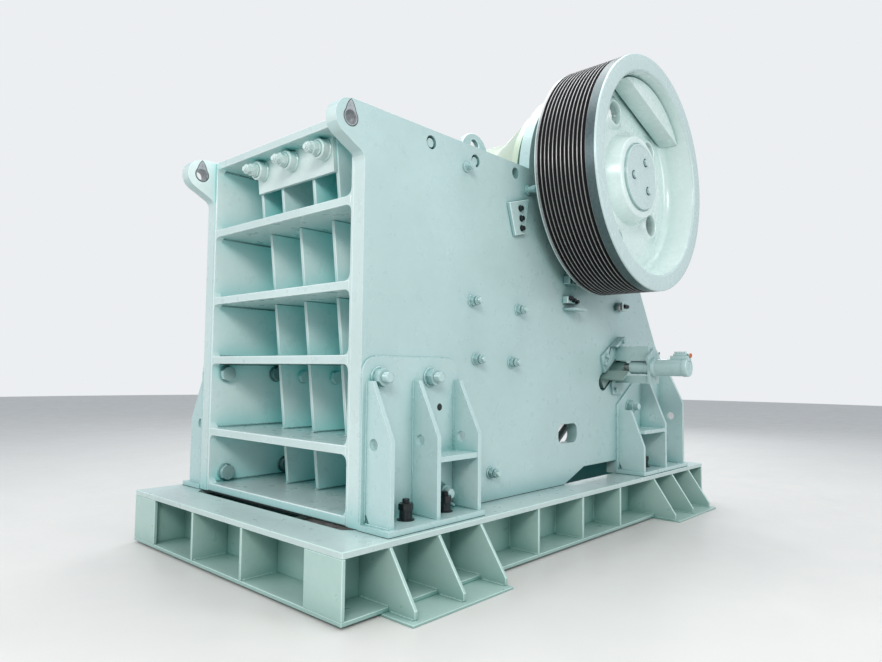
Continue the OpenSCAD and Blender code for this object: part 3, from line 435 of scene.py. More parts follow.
def box(bm, lo, hi, bevel=0.0):
    vs = bmesh.ops.create_cube(bm, size=1.0)["verts"]
    for v in vs:
        v.co = Vector([lo[i] + (v.co[i] + 0.5) * (hi[i] - lo[i]) for i in range(3)])
    if bevel:
        es = list({e for v in vs for e in v.link_edges})
        bmesh.ops.bevel(bm, geom=es, offset=bevel, segments=2, profile=0.6, affect="EDGES")


def mirrored(bm):
    """Adds the mirror image across X = 0."""
    geo = bm.verts[:] + bm.edges[:] + bm.faces[:]
    d = bmesh.ops.duplicate(bm, geom=geo)["geom"]
    vs = [g for g in d if isinstance(g, bmesh.types.BMVert)]
    for v in vs:
        v.co.x = -v.co.x
    bmesh.ops.reverse_faces(bm, faces=[g for g in d if isinstance(g, bmesh.types.BMFace)])


def drill(o, holes, n):
    """Cuts holes, as (position, axis, radius, start, end), into a piece and keeps its other modifiers."""
    cb = bmesh.new()
    for pos, axis, r, h0, h1 in holes:
        rod(cb, at(pos, axis), r, h0, h1, n)
    bmesh.ops.recalc_face_normals(cb, faces=cb.faces)
    cm = bpy.data.meshes.new("cut")
    cb.to_mesh(cm)
    cb.free()
    cut = bpy.data.objects.new("cut", cm)
    bpy.context.scene.collection.objects.link(cut)
    mod = o.modifiers.new("holes", "BOOLEAN")
    mod.operation = "DIFFERENCE"
    mod.solver = "EXACT"
    mod.object = cut
    others = [m for m in o.modifiers if m != mod]
    for m in others:
        m.show_viewport = False
    o.data = bpy.data.meshes.new_from_object(o.evaluated_get(bpy.context.evaluated_depsgraph_get()))
    o.modifiers.remove(mod)
    for m in others:
        m.show_viewport = True
    bpy.data.objects.remove(cut)


# ------------------------------------------------------------------ plates: every welded node with broken edges
PLATES = {
    "base_top_plate": ("base_lit_top", 0.005), "base_bottom_plate": ("base", 0.004), "base_foot_plates": ("base", 0.003),
    "base_side_webs": ("base", 0.003), "base_end_webs": ("base", 0.003), "base_corner_plates": ("base", 0.004),
    "base_stiffeners": ("base", 0.004), "base_outrigger_gussets": ("base", 0.004),
    "front_wall": ("lit_inner", 0.004), "front_shelves": ("front", 0.007), "front_ribs": ("front", 0.006),
    "front_cheek_flanges": ("front", 0.006), "jaw_bolt_plate": ("clamp", 0.005),
    "right_side_plate": ("paint", 0.006), "left_side_plate": ("paint", 0.006),
    "inner_lifting_lugs": ("paint", 0.008), "rear_frame": ("paint", 0.005),
    "fixed_jaw_die": ("die", 0.008), "upper_cheek_plates": ("die", 0.006), "lower_cheek_plates": ("die", 0.006),
    "toggle_seat": ("paint", 0.004), "right_wedge": ("wedge", 0.005), "left_wedge": ("wedge", 0.005),
    "right_cylinder_bracket": ("paint", 0.004), "left_cylinder_bracket": ("paint", 0.004),
    "front_right_foot": ("foot", 0.005), "front_left_foot": ("foot", 0.005),
    "rear_right_foot": ("foot", 0.005), "rear_left_foot": ("foot", 0.005),
    "guard_brackets": ("paint", 0.005), "toggle_plate": ("steel", 0.006),
}
# faces that look inward, nearer to the middle than the limit, get painted light or painted shade: a lighter paint on
# side plates, ribs and flanges, near-black teal on the base webs; their paint, the axis and the limit in metres
EVERYWHERE = 9
INWARD_LIGHT_AND_SHADE = {
    "base_side_webs": ("inner_painted_shade", 0, 0.998), "base_end_webs": ("inner_painted_shade", 1, 2.18),
    "right_side_plate": ("lit_inner", 0, 0.88), "left_side_plate": ("lit_inner", 0, 0.88),
    "front_ribs": ("lit_inner", 0, EVERYWHERE), "front_cheek_flanges": ("lit_inner", 0, 0.86),
}
# paint of the bevels for each plate paint: lighter paints as painted highlight, black steel for the wedges
EDGE_HIGHLIGHT_AND_BLACK = {
    "paint": "edge", "front": "edge", "foot": "edge", "base": "base_highlight_edge", "base_lit_top": "base_highlight_edge", "wedge": "black",
}
for node, (m, w) in PLATES.items():
    dress(node, M[m], w, edge=M[EDGE_HIGHLIGHT_AND_BLACK[m]] if m in EDGE_HIGHLIGHT_AND_BLACK else None)
dress("moving_jaw_die", M["die"], 0.008, "swing_jaw")

KEEP = {
    "right_bearing_housing": "cast", "left_bearing_housing": "cast", "eccentric_shaft": "steel",
    "tension_rods": "steel", "pitman": "pitman",
}
for node, m in KEEP.items():
    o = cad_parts[node]
    o.data.materials.clear()
    o.data.materials.append(M[m])
    o.data.shade_smooth()
    o.data.set_sharp_from_angle(angle=RAD(30))


# ------------------------------------------------------------------ flywheels
def rounded(pts):
    """Path of (a, b, fillet) turned into points (a, b, 0) with its corners rounded; 0 is the tag of paint."""
    out = []
    for i, p in enumerate(pts):
        a, b, r = p
        if r <= 0 or i in (0, len(pts) - 1):
            out.append((a, b, 0))
            continue
        p0, p1 = Vector(pts[i - 1][:2]), Vector(pts[i + 1][:2])
        c = Vector((a, b))
        d0, d1 = (p0 - c).normalized(), (p1 - c).normalized()
        half = d0.angle(d1) / 2
        t = r / math.tan(half)
        m = c + (d0 + d1).normalized() * (r / math.sin(half))
        s, e = c + d0 * t - m, c + d1 * t - m
        n = max(3, int(math.degrees(math.pi - 2 * half) / 14))
        for k in range(n + 1):
            f = k / n
            v = s * (1 - f) + e * f
            v = v.normalized() * r
            out.append((m.x + v.x, m.y + v.y, 0))
    return out


def smoothstep(a, b, x):
    t = min(1, max(0, (x - a) / (b - a)))
    return t * t * (3 - 2 * t)


def web_relief(y, z):
    """The web stands back beyond the foot of the hub, with the slow unevenness of a casting.

    The back of the counterweights stays on the plane of the CAD's web and doesn't follow this.
    """
    r = math.hypot(y, z) * 1000
    cast = 0.003 * noise.noise(Vector((y * 5, z * 5, 0.3)))
    return -0.022 * smoothstep(395, 470, r) + 0.006 * smoothstep(735, 765, r) + cast


def wheel_path(grooved):
    """Outline of a wheel as (radius, x, material tag): 0 paint, 1 groove, 2 land, 3 turned band."""
    back = rounded([(0.140, 1.142, 0), (HUB_R, 1.142, 0.02), (HUB_R, WEB_X0, 0.05), (RIM_IN, WEB_X0, 0.05),
                    (RIM_IN, WHEEL_X0, 0.012), (WHEEL_R, WHEEL_X0, 0.008)])
    back = back[:-1] + [(WHEEL_R - 0.006, WHEEL_X0, 0), (WHEEL_R, WHEEL_X0 + 0.006, 0)]
    rim = []
    if grooved:
        rim.append((WHEEL_R, WHEEL_X0 + 0.014, 2))
        for i in range(GROOVES):
            x = WHEEL_X0 + 0.046 + GROOVE_PITCH * i
            rim += [(WHEEL_R - 0.001, x - 0.0140, 1),
                    (WHEEL_R - 0.027, x - 0.0075, 1), (WHEEL_R - 0.027, x + 0.0075, 1),
                    (WHEEL_R - 0.001, x + 0.0140, 2), (WHEEL_R, x + 0.0155, 2), (WHEEL_R, x + 0.0205, 2)]
        rim[-1] = (WHEEL_R, WHEEL_X0 + 0.459, 3)
        rim.append((WHEEL_R, WHEEL_X1 - 0.016, 0))
    else:
        rim.append((WHEEL_R, WHEEL_X0 + 0.030, 3))
        rim.append((WHEEL_R, WHEEL_X1 - 0.030, 0))
    front = rounded([(WHEEL_R, WHEEL_X1 - 0.014, 0), (WHEEL_R, WHEEL_X1, 0.010), (RIM_IN + 0.004, WHEEL_X1, 0.022),
                     (RIM_IN - 0.018, WEB_X1, 0.055), (HUB_R + 0.048, WEB_X1, 0.014), (HUB_R - 0.004, 1.540, 0.018),
                     (0.292, 1.540, 0.006), (0.288, 1.534, 0.003), (0.279, 1.534, 0.003),
                     (0.276, 1.5405, 0.003), (0.140, 1.5405, 0)])
    out = list(front)
    # the flat of the web gets rings of its own, so that the relief can shape it
    flat = [i for i in range(len(out) - 1) if abs(out[i][1] - WEB_X1) < 1e-6 and abs(out[i + 1][1] - WEB_X1) < 1e-6]
    i = max(flat, key=lambda k: abs(out[k][0] - out[k + 1][0]))
    a, b = out[i][0], out[i + 1][0]
    n = 22
    out[i + 1:i + 1] = [(a + (b - a) * k / n, WEB_X1, 0) for k in range(1, n)]
    return back + rim + out


def make_wheel(node, side, grooved):
    segs = WHEEL_SEGMENTS
    path = wheel_path(grooved)
    bm = bmesh.new()
    rings = []
    for r, x, _ in path:
        ring = []
        for i in range(segs):
            a = 2 * math.pi * i / segs
            y, z = r * math.cos(a), r * math.sin(a)
            xx = x
            if HUB_R + 0.002 < r < RIM_IN + 0.002 and WEB_X1 - 0.001 < x < WEB_X1 + 0.05:
                xx = x + web_relief(y, z) * (1 - smoothstep(0, 0.05, x - WEB_X1))
            ring.append(bm.verts.new((side * xx, SHAFT_Y + y, SHAFT_Z + z)))
        rings.append(ring)
    k = len(rings)
    for j in range(k):
        p, q = rings[j], rings[(j + 1) % k]
        tag = path[j][2]
        for i in range(segs):
            i2 = (i + 1) % segs
            f = bm.faces.new((p[i], p[i2], q[i2], q[i]) if side > 0 else (p[i], q[i], q[i2], p[i2]))
            # faces inside the rim take the lighter wheel paint: painted light in the recess
            inner = tag == 0 and max(path[j][0], path[(j + 1) % k][0]) < RIM_IN + 0.005
            f.material_index = 4 if inner else tag
    bmesh.ops.recalc_face_normals(bm, faces=bm.faces)
    me = bpy.data.meshes.new(node + "_turned")
    bm.to_mesh(me)
    bm.free()
    for m in ("wheel", "groove", "land", "turned", "wheel_lit_recess"):
        me.materials.append(M[m])
    body = bpy.data.objects.new(node + "_turned", me)
    bpy.context.scene.collection.objects.link(body)
    start = side * (WEB_X0 - 0.12)
    drill(body, [((start, SHAFT_Y + y, SHAFT_Z + z), (side, 0, 0), WEB_HOLE_R, 0, 0.30) for y, z in WEB_HOLES], 64)
    bm = bmesh.new()
    bm.from_mesh(body.data)
    mats = list(body.data.materials)
    bpy.data.objects.remove(body)
    # soft raised lips round the holes, on both faces of the web
    for i, (y, z) in enumerate(WEB_HOLES):
        c = (SHAFT_Y + y, SHAFT_Z + z)
        h = 0.020 + 0.006 * math.sin(i * 2.3)
        lip = [(0.0945, -0.02), (0.0945, h * 0.55), (0.098, h * 0.85), (0.104, h),
               (0.113, h * 0.93), (0.124, h * 0.6), (0.138, h * 0.22), (0.155, -0.001), (0.165, -0.006)]
        turned(bm, lip, at((side * (WEB_X1 - 0.018), *c), (side, 0, 0)), 64, 4)
        turned(bm, lip, at((side * WEB_X0, *c), (-side, 0, 0)), 64, 4)
    put(node + "_wheel", bm, mats, "rotor", 32, node)


make_wheel("right_flywheel", 1, True)
make_wheel("left_flywheel", -1, False)


def counterweights():
    """Segments inside the rims, with a rounded edge and small bolts in the flat side."""
    bm = bmesh.new()
    r, ch, t = WEIGHT_R, WEIGHT_CHORD, WEIGHT_DEPTH
    half = math.sqrt(r * r - ch * ch)
    a1 = math.atan2(half, ch)
    n = 40
    pts = [(r * math.cos(-a1 + 2 * a1 * i / n), r * math.sin(-a1 + 2 * a1 * i / n)) for i in range(n + 1)]
    prism(bm, pts, 0, t)
    bmesh.ops.recalc_face_normals(bm, faces=bm.faces)
    es = [e for e in bm.edges if len(e.link_faces) == 2 and e.calc_face_angle(0) > 0.6]
    bmesh.ops.bevel(bm, geom=es, offset=0.009, segments=3, profile=0.7, affect="EDGES")
    rot = Matrix.Rotation(WEIGHT_ANGLE, 4, "X")
    for v in bm.verts:
        v.co = rot @ v.co + Vector((WEB_X1, SHAFT_Y, SHAFT_Z))
    ax = rot @ Vector((0, 1, 0))
    cx = rot @ Vector((0, 0, 1))
    c0 = Vector((WEB_X1, SHAFT_Y, SHAFT_Z))
    for s in (-1, 1):
        p = c0 + ax * 0.698 + cx * (s * 0.190) + Vector((t, 0, 0))
        turned(bm, [(0, 0.0005), (0.007, 0.0005), (0.009, 0.001), (0.009, -0.004)], at(p, (1, 0, 0)), 20)
    for k in range(5):
        p = c0 + ax * ch + cx * (-0.38 + 0.19 * k) + Vector((t * 0.55, 0, 0))
        turned(bm, [(0, 0.002), (0.005, 0.002), (0.007, 0.0), (0.007, -0.004)], at(p, -ax), 16)
    mirrored(bm)
    put("counterweight_segments", bm, [M["wheel_lit_recess"], M["dark"]], "rotor", 30, "counterweights")


counterweights()

bm = bmesh.new()
for s in (1, -1):
    m = at((s * HUB_COVER_X, SHAFT_Y, SHAFT_Z), (s, 0, 0))
    cover = rounded([(0.0, 0.019, 0), (0.262, 0.019, 0.002), (0.266, 0.022, 0.002),
                     (0.280, 0.022, 0.006), (0.280, 0.0, 0)])
    turned(bm, [p[:2] for p in cover], m, 128)
    for k, a in enumerate((65, 185, 318)):
        p = (s * (HUB_COVER_X + 0.018), SHAFT_Y + 0.150 * math.cos(RAD(a)), SHAFT_Z + 0.150 * math.sin(RAD(a)))
        # a dark disc a little wider than each head: painted shadow under the head
        turned(bm, [(0.0, 0.0016), (0.037, 0.0016), (0.038, 0.0)], at(p, (s, 0, 0)), 32, 1)
        hexagon(bm, at(p, (s, 0, 0)), 0.031, 0.001, 0.020, 0.4 * k)
put("shaft_covers", bm, [M["wheel"], M["dark"]], "rotor", 30, "hub_covers")


# ------------------------------------------------------------------ fittings on both side plates
X = PLATE_OUT
for side, name in ((1, "right"), (-1, "left")):
    o = bpy.data.objects[name + "_side_plate_edged"]
    drill(o, [((side * X, y, z), (side, 0, 0), 0.048, -0.045, 0.05) for y, z in COUNTERBORES], 48)
bm = bmesh.new()
# foot bolts: washer, nut and stud outside, hex head inside the front box
for y, z in ((-1.965, 1.327), (-1.497, 1.327), (-1.950, 0.541), (-1.390, 0.550), (1.372, 1.038)):
    p = (X + FOOT_PLATE_T, y, z)
    washer(bm, at(p), 0.068, 0.011, 40)
    hexagon(bm, at(p), 0.059, 0.011, 0.062, 0.3 + y)
    thread(bm, at(p), 0.034, 0.062, 0.112, 0.007)
    if y > 0:
        continue
    q = (BAY_HALF, y, z)
    washer(bm, at(q, (-1, 0, 0)), 0.068, 0.011, 40)
    hexagon(bm, at(q, (-1, 0, 0)), 0.062, 0.011, 0.055, 0.2 + y)
# cheek plate studs
for k, (y, z) in enumerate(((-1.044, 1.883), (-0.473, 1.859), (-0.997, 1.457), (-0.565, 1.441), (-0.816, 0.616))):
    p = (X, y, z)
    washer(bm, at(p), 0.046, 0.009, 32)
    hexagon(bm, at(p), 0.040, 0.009, 0.042, 0.5 * k)
    hexagon(bm, at(p), 0.034, 0.050, 0.070, 0.9 * k)
    thread(bm, at(p), 0.022, 0.040, 0.092, 0.005)
# heads down in the counterbored holes
for y, z in COUNTERBORES:
    p = (X - 0.046, y, z)
    rod(bm, at(p), 0.044, 0, 0.004, 32)
    hexagon(bm, at(p), 0.036, 0.004, 0.034, 0.4)
# stub studs on the upper part of the plate
for y, z, r, out in ((-1.124, 2.860, 0.030, 0.075), (-0.344, 2.852, 0.034, 0.100)):
    p = (X, y, z)
    collar = [(0, 0), (r * 1.25, 0), (r * 1.25, 0.010), (r * 0.78, 0.014), (r * 0.78, out * 0.55), (0, out * 0.55)]
    turned(bm, collar, at(p), 32)
    hexagon(bm, at(p), r, out * 0.55, out * 0.95, 0.3)
    turned(bm, [(0, out), (r * 0.5, out), (r * 0.55, out * 0.9), (r * 0.55, out * 0.5)], at(p), 24)
# slanted stop pin under the low rear bolt of the front foot
rod(bm, at((X + 0.020, -1.372, 0.505), (0.5, 0.6, -0.45)), 0.012, 0, 0.100, 20)
# small hole in the foot plate, as a flat dark disc on the plate: painted shade in place of the hole
turned(bm, [(0, 0.0008), (0.022, 0.0008), (0.025, 0)], at((X + FOOT_PLATE_T, -1.400, 1.123)), 24, 2)
mirrored(bm)
put("plate_bolts", bm, [M["paint"], M["black"], M["dark"]], "frame", 32)

# bolt heads on the ribs of the second window from below
bm = bmesh.new()
for x, y in ((-0.368, -1.560), (0.017, -1.540)):
    rod(bm, at((x, y, 1.310)), 0.056, 0, 0.008, 40)
    hexagon(bm, at((x, y, 1.310)), 0.050, 0.008, 0.044, 0.2 + x)
put("rib_bolts", bm, M["front"], "frame", 32)

# guard pads and their black bolts
bm = bmesh.new()


def black_bolt(p, r, h):
    turned(bm, [(0, 0.002), (r * 1.25, 0.002), (r * 1.25, 0.0)], at(p, PX), 24, 1)
    hexagon(bm, at(p, PX), r, 0.002, h, 0.3, 1)


for y, z in ((-0.492, 2.668), (-0.478, 2.590), (-0.470, 2.512)):
    black_bolt((X + 0.032, y, z), 0.021, 0.024)
for k in range(3):
    black_bolt((X + 0.056, 0.215 + 0.050 * k, 2.010 - 0.012 * k), 0.018, 0.026)
for k in range(2):
    black_bolt((X + 0.082, 1.170 + 0.040 * k, 2.010), 0.017, 0.020)
turned(bm, [(0, 0.026), (0.030, 0.026), (0.037, 0.020), (0.037, 0)], at((X + 0.040, 1.125, 2.000), PX), 32, 2)
# eye lug over the angle
box(bm, (X, 0.190, 1.905), (X + 0.120, 0.395, 1.925), 0.003)
for yy in (0.232, 0.290):
    prism(bm, [(yy - 0.010, 2.125), (yy + 0.010, 2.125), (yy + 0.010, 2.235), (yy - 0.010, 2.235)], X, X + 0.060)
turned(bm, [(0.014, 0), (0.014, 0.085)], at((X + 0.035, 0.220, 2.170), (0, 1, 0)), 20)
mirrored(bm)
put("guard_fittings", bm, [M["paint"], M["black"], M["steel"]], "frame", 32)

# hydraulic cylinders of the wedges: rod, sleeve, collar, tube with end cap and port block
bm = bmesh.new()
m = at((0, CYL_Y, CYL_Z), PX)
rod(bm, m, 0.040, 1.084, 1.140, 40, 3)
turned(bm, [
    (0, 1.136), (0.056, 1.136), (0.060, 1.140), (0.060, 1.288), (0.066, 1.292), (0.066, 1.338),
    (0.071, 1.346), (0.082, 1.352), (0.086, 1.358), (0.086, 1.386), (0.083, 1.391), (0.078, 1.394),
    (0.078, 1.640), (0.081, 1.643), (0.0825, 1.646), (0.0825, 1.686), (0.078, 1.694), (0.070, 1.696),
    (0.066, 1.690), (0, 1.690)], m, 64)
ring = [a / 12 * math.pi for a in range(25)]
weld(bm, [(1.394, CYL_Y + 0.079 * math.cos(a), CYL_Z + 0.079 * math.sin(a)) for a in ring], 0.005, 2)
box(bm, (1.530, CYL_Y - 0.034, CYL_Z + 0.060), (1.700, CYL_Y + 0.034, CYL_Z + 0.108), 0.006)
box(bm, (1.556, CYL_Y - 0.028, CYL_Z + 0.104), (1.682, CYL_Y + 0.028, CYL_Z + 0.128), 0.006)
for k in range(4):
    top = at((1.575 + 0.029 * k, CYL_Y - 0.008, CYL_Z + 0.126), (0, 0, 1), PX)
    turned(bm, [(0, 0.020), (0.010, 0.020), (0.012, 0.016), (0.012, 0)], top, 16)
port = at((1.699, CYL_Y, CYL_Z + 0.110), PX)
rod(bm, port, 0.012, 0.010, 0, 24, 3)
turned(bm, [(0.011, 0.002), (0.011, 0.014), (0.020, 0.014), (0.020, 0.002)], port, 24, 2)
# two flat dark discs on the bracket: painted shade in place of two holes
for y, z in ((1.195, 1.554), (1.210, 1.490)):
    turned(bm, [(0, 0.0008), (0.0104, 0.0008), (0.013, 0.0)], at((1.388, y, z), PX), 20, 1)
for y, z in ((CYL_Y - 0.262, CYL_Z + 0.030), (CYL_Y - 0.235, CYL_Z + 0.105), (CYL_Y - 0.060, CYL_Z - 0.215)):
    bolt(bm, (X + PAD_T, y, z), PX, 0.020, 0.022, 0.004)
bolt(bm, (X + PAD_T + 0.058, CYL_Y - 0.010, CYL_Z + 0.250), PX, 0.020, 0.022, 0.004)
mirrored(bm)
put("wedge_cylinder_details", bm, [M["paint"], M["dark"], M["orange"], M["steel"]], "frame", 32,
    ["right_wedge_cylinder", "left_wedge_cylinder"])

# bare steel round the ear holes, left free of paint in the shape of a drop, with a lining in the hole
bm = bmesh.new()
for side in (1, -1):
    for face in (PLATE_OUT + 0.0005, PLATE_IN - 0.0005):
        n = 48
        ring_in, ring_mid, ring_out = [], [], []
        for i in range(n):
            a = 2 * math.pi * i / n
            rr = EAR_RING
            d = abs((math.degrees(a) - 90 + 180) % 360 - 180)
            if d < 50:
                k = 1 - d / 50
                rr += 0.060 * k ** 1.6
            for lst, q in ((ring_in, 0.0455), (ring_mid, rr - 0.006), (ring_out, rr)):
                lst.append(bm.verts.new((side * face, EAR_Y + q * math.cos(a), EAR_Z + q * math.sin(a))))
        for i in range(n):
            j = (i + 1) % n
            bm.faces.new((ring_in[i], ring_mid[i], ring_mid[j], ring_in[j]))
            bm.faces.new((ring_mid[i], ring_out[i], ring_out[j], ring_mid[j])).material_index = 1
    lining = [(0.0452, 0.0), (0.0440, 0.002), (0.0440, 0.098), (0.0452, 0.100)]
    turned(bm, lining, at((side * PLATE_IN, EAR_Y, EAR_Z), (side, 0, 0)), 48)
put("ear_bare_steel", bm, [M["bare"], M["black"]], "frame", 32)

# clamp bolts of the fixed die: boss, washer, nut, lock nut and stud end
bm = bmesh.new()
cl = frame_of((0, -math.cos(WALL_LEAN), -math.sin(WALL_LEAN)))
for x in (-0.386, 0, 0.386):
    p = Vector((x, wall_front(CLAMP_Z) - 0.360 - 0.028, CLAMP_Z))
    m = Matrix.Translation(p) @ cl
    boss = [(0, 0), (0.077, 0), (0.077, 0.010), (0.072, 0.016), (0.072, 0.066), (0.068, 0.072), (0.056, 0.072),
            (0.056, 0.066), (0, 0.066)]
    turned(bm, boss, m, 64)
    turned(bm, [(0, 0.060), (0.051, 0.060), (0.051, 0.082), (0.048, 0.084), (0, 0.084)], m, 48)
    hexagon(bm, m, 0.050, 0.084, 0.122, 0.3 + x)
    rod(bm, m, 0.036, 0.122, 0.134, 32)
    hexagon(bm, m, 0.038, 0.134, 0.160, 0.8 + x)
    turned(bm, [(0, 0.158), (0.025, 0.158), (0.025, 0.170), (0.017, 0.171), (0.017, 0.180), (0, 0.180)], m, 24)
    turned(bm, [(0.027, 0), (0.025, -0.02), (0.025, -0.30), (0, -0.30)], m, 24)
put("clamp_bolt_stacks", bm, M["clamp"], "frame", 32, "jaw_clamp_bolts")

# rounded corners of the five windows of the front box
bm = bmesh.new()


def corner(x, z, sx, sz):
    """A fillet in a window corner, with its back 12 mm inside the plates."""
    n, r, back = 8, 0.045, 0.012
    turn = [math.pi / 2 * i / n for i in range(n + 1)]
    arc = [(x + sx * (r - r * math.sin(a)), z + sz * (r - r * math.cos(a))) for a in turn]
    outline = [(x - sx * back, z - sz * back), (x + sx * r, z - sz * back)] + arc + [(x - sx * back, z + sz * r)]
    a = [bm.verts.new((px, -2.091, pz)) for px, pz in outline]
    b = [bm.verts.new((px, -2.035, pz)) for px, pz in outline]
    bm.faces.new(a)
    bm.faces.new(b[::-1])
    for i in range(len(outline)):
        j = (i + 1) % len(outline)
        bm.faces.new((a[j], a[i], b[i], b[j]))


for (_, low), (high, _) in zip(SHELVES, SHELVES[1:]):
    for sx in (1, -1):
        corner(-sx * BAY_HALF, low, sx, 1)
        corner(-sx * BAY_HALF, high, sx, -1)
bmesh.ops.recalc_face_normals(bm, faces=bm.faces)
bm.normal_update()
for f in bm.faces:
    f.material_index = 0 if abs(f.normal.y) > 0.5 else 1
put("front_corner_fillets", bm, [M["front"], M["lit_inner"]], "frame", 32)

# hold-down nuts: sleeve, hexagon and stud, all black
bm = bmesh.new()
for y in (-1.801, -1.441, 1.500, 1.907):
    m = at((X + 0.108, y, BASE_Z + 0.036), (0, 0, 1), (1, 0, 0))
    turned(bm, [(0, 0), (0.056, 0), (0.056, 0.006), (0.042, 0.009), (0.040, 0.056), (0.043, 0.062)], m, 48)
    hexagon(bm, m, 0.049, 0.062, 0.104, 0.2 + y)
    thread(bm, m, 0.0245, 0.100, 0.132, 0.006)
    rod(bm, m, 0.025, -0.034, 0, 24)
mirrored(bm)
put("hold_down_nuts", bm, M["black"], "frame", 32, "hold_down_bolts")

# dark strips where the side plates and the feet stand on the base: painted contact shadow
bm = bmesh.new()
for y0, y1 in ((-1.200, 0.198), (1.138, 1.160)):
    box(bm, (X - 0.002, y0, BASE_Z), (X + 0.0015, y1, BASE_Z + 0.004))
for y0, y1, x1 in ((-2.1025, -1.2185, 1.2475), (1.1265, 2.120, 1.2675)):
    box(bm, (X, y0, BASE_Z), (x1, y1, BASE_Z + 0.003))
box(bm, (-0.972, FRONT_Y - 0.0015, BASE_Z), (0.0, FRONT_Y + 0.01, BASE_Z + 0.004))
mirrored(bm)
put("base_contact_shadow_strips", bm, M["dark"], "frame", 0)

# weld beads
bm = bmesh.new()
for bay in range(5):
    z0, z1 = SHELVES[bay][1], SHELVES[bay + 1][0]
    wall = wall_front(z0)
    xs = (-0.470, -0.195, 0.195, 0.470) if bay == 4 else (-0.385, 0, 0.385)
    for x in xs:
        for s in (-1, 1):
            xx = x + s * 0.017
            weld(bm, [(xx, wall - 0.355, z0 + 0.002), (xx, wall - 0.01, z0 + 0.002)], 0.009, x + bay)
        weld(bm, [(x - 0.020, wall - 0.362, z0 + 0.003), (x + 0.020, wall - 0.362, z0 + 0.003)], 0.013, x)
    for s in (-1, 1):
        weld(bm, [(s * BAY_HALF, -2.050, z0 + 0.002), (s * BAY_HALF, wall, z0 + 0.002)], 0.010, bay)
        weld(bm, [(s * BAY_HALF, -2.050, z1 - 0.002), (s * BAY_HALF, wall_front(z1), z1 - 0.002)], 0.010, bay)
GUSSETS = {-2.043: 1.305, -1.640: 1.305, -1.237: 1.305, 1.172: 1.010, 1.642: 1.262, 2.065: 1.395}
for s in (1, -1):
    for y, top in GUSSETS.items():
        for e in (-1, 1):
            yy = y + e * 0.018
            if -2.070 < yy < 2.1:
                weld(bm, [(s * (X + 0.017), yy, 0.445), (s * (X + 0.017), yy, top - 0.01)], 0.008, y + e)
                weld(bm, [(s * (X + 0.017), yy, 0.443), (s * (X + 0.235), yy, 0.443)], 0.008, y - e)
    weld(bm, [(s * (X + 0.002), -2.088, 0.446), (s * (X + 0.002), -2.093, 1.350)], 0.007, 3)
    weld(bm, [(s * (X + 0.003), -1.218, 0.446), (s * (X + 0.003), -1.218, 1.350)], 0.007, 5)
    weld(bm, [(s * (X + 0.003), -1.99, 1.456), (s * (X + 0.003), -1.31, 1.456)], 0.007, 6)
put("frame_welds", bm, M["paint"], "frame", 60)

bm = bmesh.new()
for e in (1, -1):
    for x in (-0.3605, 0.2745):
        for s in (-1, 1):
            weld(bm, [(x + s * 0.013, e * 2.198, 0.043), (x + s * 0.013, e * 2.455, 0.043)], 0.008, x)
            weld(bm, [(x + s * 0.013, e * 2.198, 0.365), (x + s * 0.013, e * 2.455, 0.365)], 0.008, x + 1)
    for s in (1, -1):
        for y in (1.299, 1.706, 2.113):
            for k in (-1, 1):
                yy = e * y + k * 0.013
                weld(bm, [(s * 1.283, yy, 0.043), (s * 1.024, yy, 0.043)], 0.007, y)
                weld(bm, [(s * 1.292, yy, 0.018), (s * 1.485, yy, 0.018)], 0.008, y + 2)
                weld(bm, [(s * 1.283, yy, 0.365), (s * 1.024, yy, 0.365)], 0.008, y + 3)
for s in (1, -1):
    for y in (-0.627, 0, 0.627):
        for k in (-1, 1):
            weld(bm, [(s * 1.278, y + k * 0.013, 0.043), (s * 1.024, y + k * 0.013, 0.043)], 0.007, y)
            weld(bm, [(s * 1.023, y + k * 0.013, 0.045), (s * 1.023, y + k * 0.013, 0.363)], 0.007, y)
put("base_welds", bm, M["base"], "frame", 60)


# ------------------------------------------------------------------ stage, light and camera
def stage():
    bm = bmesh.new()
    n = 60
    for i in range(n):
        a = 2 * math.pi * i / n
        bm.verts.new((30 * math.cos(a), 30 * math.sin(a), 0))
    bm.faces.new(bm.verts)
    me = bpy.data.meshes.new("floor")
    bm.to_mesh(me)
    bm.free()
    mat = bpy.data.materials.new("floor_concrete")
    nt, b = nodes_of(mat)
    co = add(nt, "ShaderNodeTexCoord").outputs["Object"]
    c = mix(nt, noise_node(nt, co, 0.5, 4.0, 0.6), (0.60, 0.585, 0.56), (0.68, 0.665, 0.64))
    nt.links.new(c, b.inputs["Base Color"])
    r = ramp(nt, noise_node(nt, co, 3.0, 4.0), [(0.3, grey(0.30)), (0.7, grey(0.48))])
    nt.links.new(r, b.inputs["Roughness"])
    me.materials.append(mat)
    o = bpy.data.objects.new("floor", me)
    bpy.context.scene.collection.objects.link(o)


def area(name, pos, target, size, energy, color):
    d = bpy.data.lights.new(name, "AREA")
    d.shape = "RECTANGLE"
    d.size, d.size_y = size
    d.energy = energy
    d.color = color
    o = bpy.data.objects.new(name, d)
    aim = (Vector(target) - Vector(pos)).to_track_quat("-Z", "Y")
    o.matrix_world = Matrix.Translation(Vector(pos)) @ aim.to_matrix().to_4x4()
    bpy.context.scene.collection.objects.link(o)


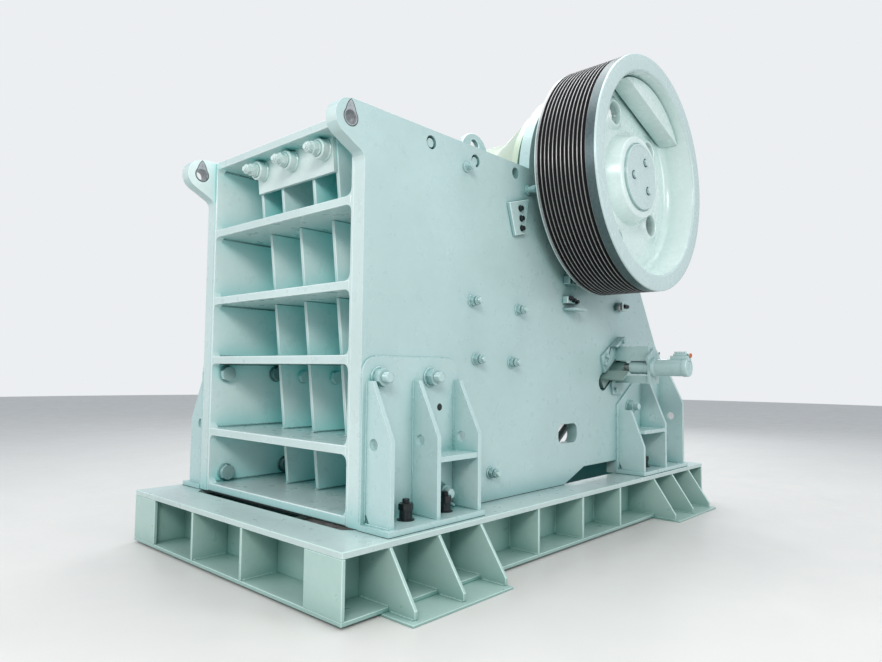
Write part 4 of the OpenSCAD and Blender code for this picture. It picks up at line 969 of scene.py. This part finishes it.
stage()
area("key", (7.0, -8.5, 6.2), (0.6, -0.6, 1.6), (4.0, 2.6), 540, (1.0, 0.985, 0.96))
area("front", (-2.5, -9.5, 5.0), (0, -1.5, 1.3), (6.0, 4.0), 210, (0.95, 0.98, 1.0))
area("side", (8.5, 1.2, 3.8), (0.9, 0.6, 1.8), (3.0, 2.5), 125, (0.97, 0.99, 1.0))
area("top", (0.0, 0.0, 9.5), (0, 0, 0), (8.0, 8.0), 630, (1.0, 1.0, 1.0))
area("rear", (-5.0, 8.0, 5.5), (0, 0.5, 1.8), (6.0, 4.0), 360, (0.96, 0.98, 1.0))

world = bpy.data.worlds.new("studio")
bpy.context.scene.world = world
world.use_nodes = True
wn = world.node_tree
wn.nodes.clear()
w_out = wn.nodes.new("ShaderNodeOutputWorld")
w_mix = wn.nodes.new("ShaderNodeMixShader")
w_light = wn.nodes.new("ShaderNodeBackground")
w_seen = wn.nodes.new("ShaderNodeBackground")
w_path = wn.nodes.new("ShaderNodeLightPath")
w_light.inputs[0].default_value = (0.86, 0.93, 1.0, 1)
w_light.inputs[1].default_value = 0.66
w_seen.inputs[0].default_value = (0.84, 0.86, 0.88, 1)
w_seen.inputs[1].default_value = 1.0
wn.links.new(w_path.outputs["Is Camera Ray"], w_mix.inputs[0])
wn.links.new(w_light.outputs[0], w_mix.inputs[1])
wn.links.new(w_seen.outputs[0], w_mix.inputs[2])
wn.links.new(w_mix.outputs[0], w_out.inputs[0])
bpy.context.scene.view_settings.view_transform = "Standard"

# camera solved from the straight edges of the photograph
PHOTO_WIDTH, FOCAL_PIXELS = 882.0, 660.0
CAMERA_AT = (4.0600, -4.7382, 1.3760)
yaw, pitch, roll = RAD(42.558), RAD(3.383), RAD(0.612)
fwd = Vector((-math.sin(yaw) * math.cos(pitch), math.cos(yaw) * math.cos(pitch), math.sin(pitch)))
r0 = Vector((math.cos(yaw), math.sin(yaw), 0))
u0 = r0.cross(fwd)
right = math.cos(roll) * r0 + math.sin(roll) * u0
up = -math.sin(roll) * r0 + math.cos(roll) * u0
cam = bpy.data.cameras.new("camera")
cam.sensor_fit = "HORIZONTAL"
cam.sensor_width = 36.0
cam.lens = 36.0 * FOCAL_PIXELS / PHOTO_WIDTH
cam.clip_end = 200
cam_o = bpy.data.objects.new("camera", cam)
turned_to = Matrix((right, up, -fwd)).transposed().to_4x4()
cam_o.matrix_world = Matrix.Translation(CAMERA_AT) @ turned_to
bpy.context.scene.collection.objects.link(cam_o)
bpy.context.scene.camera = cam_o
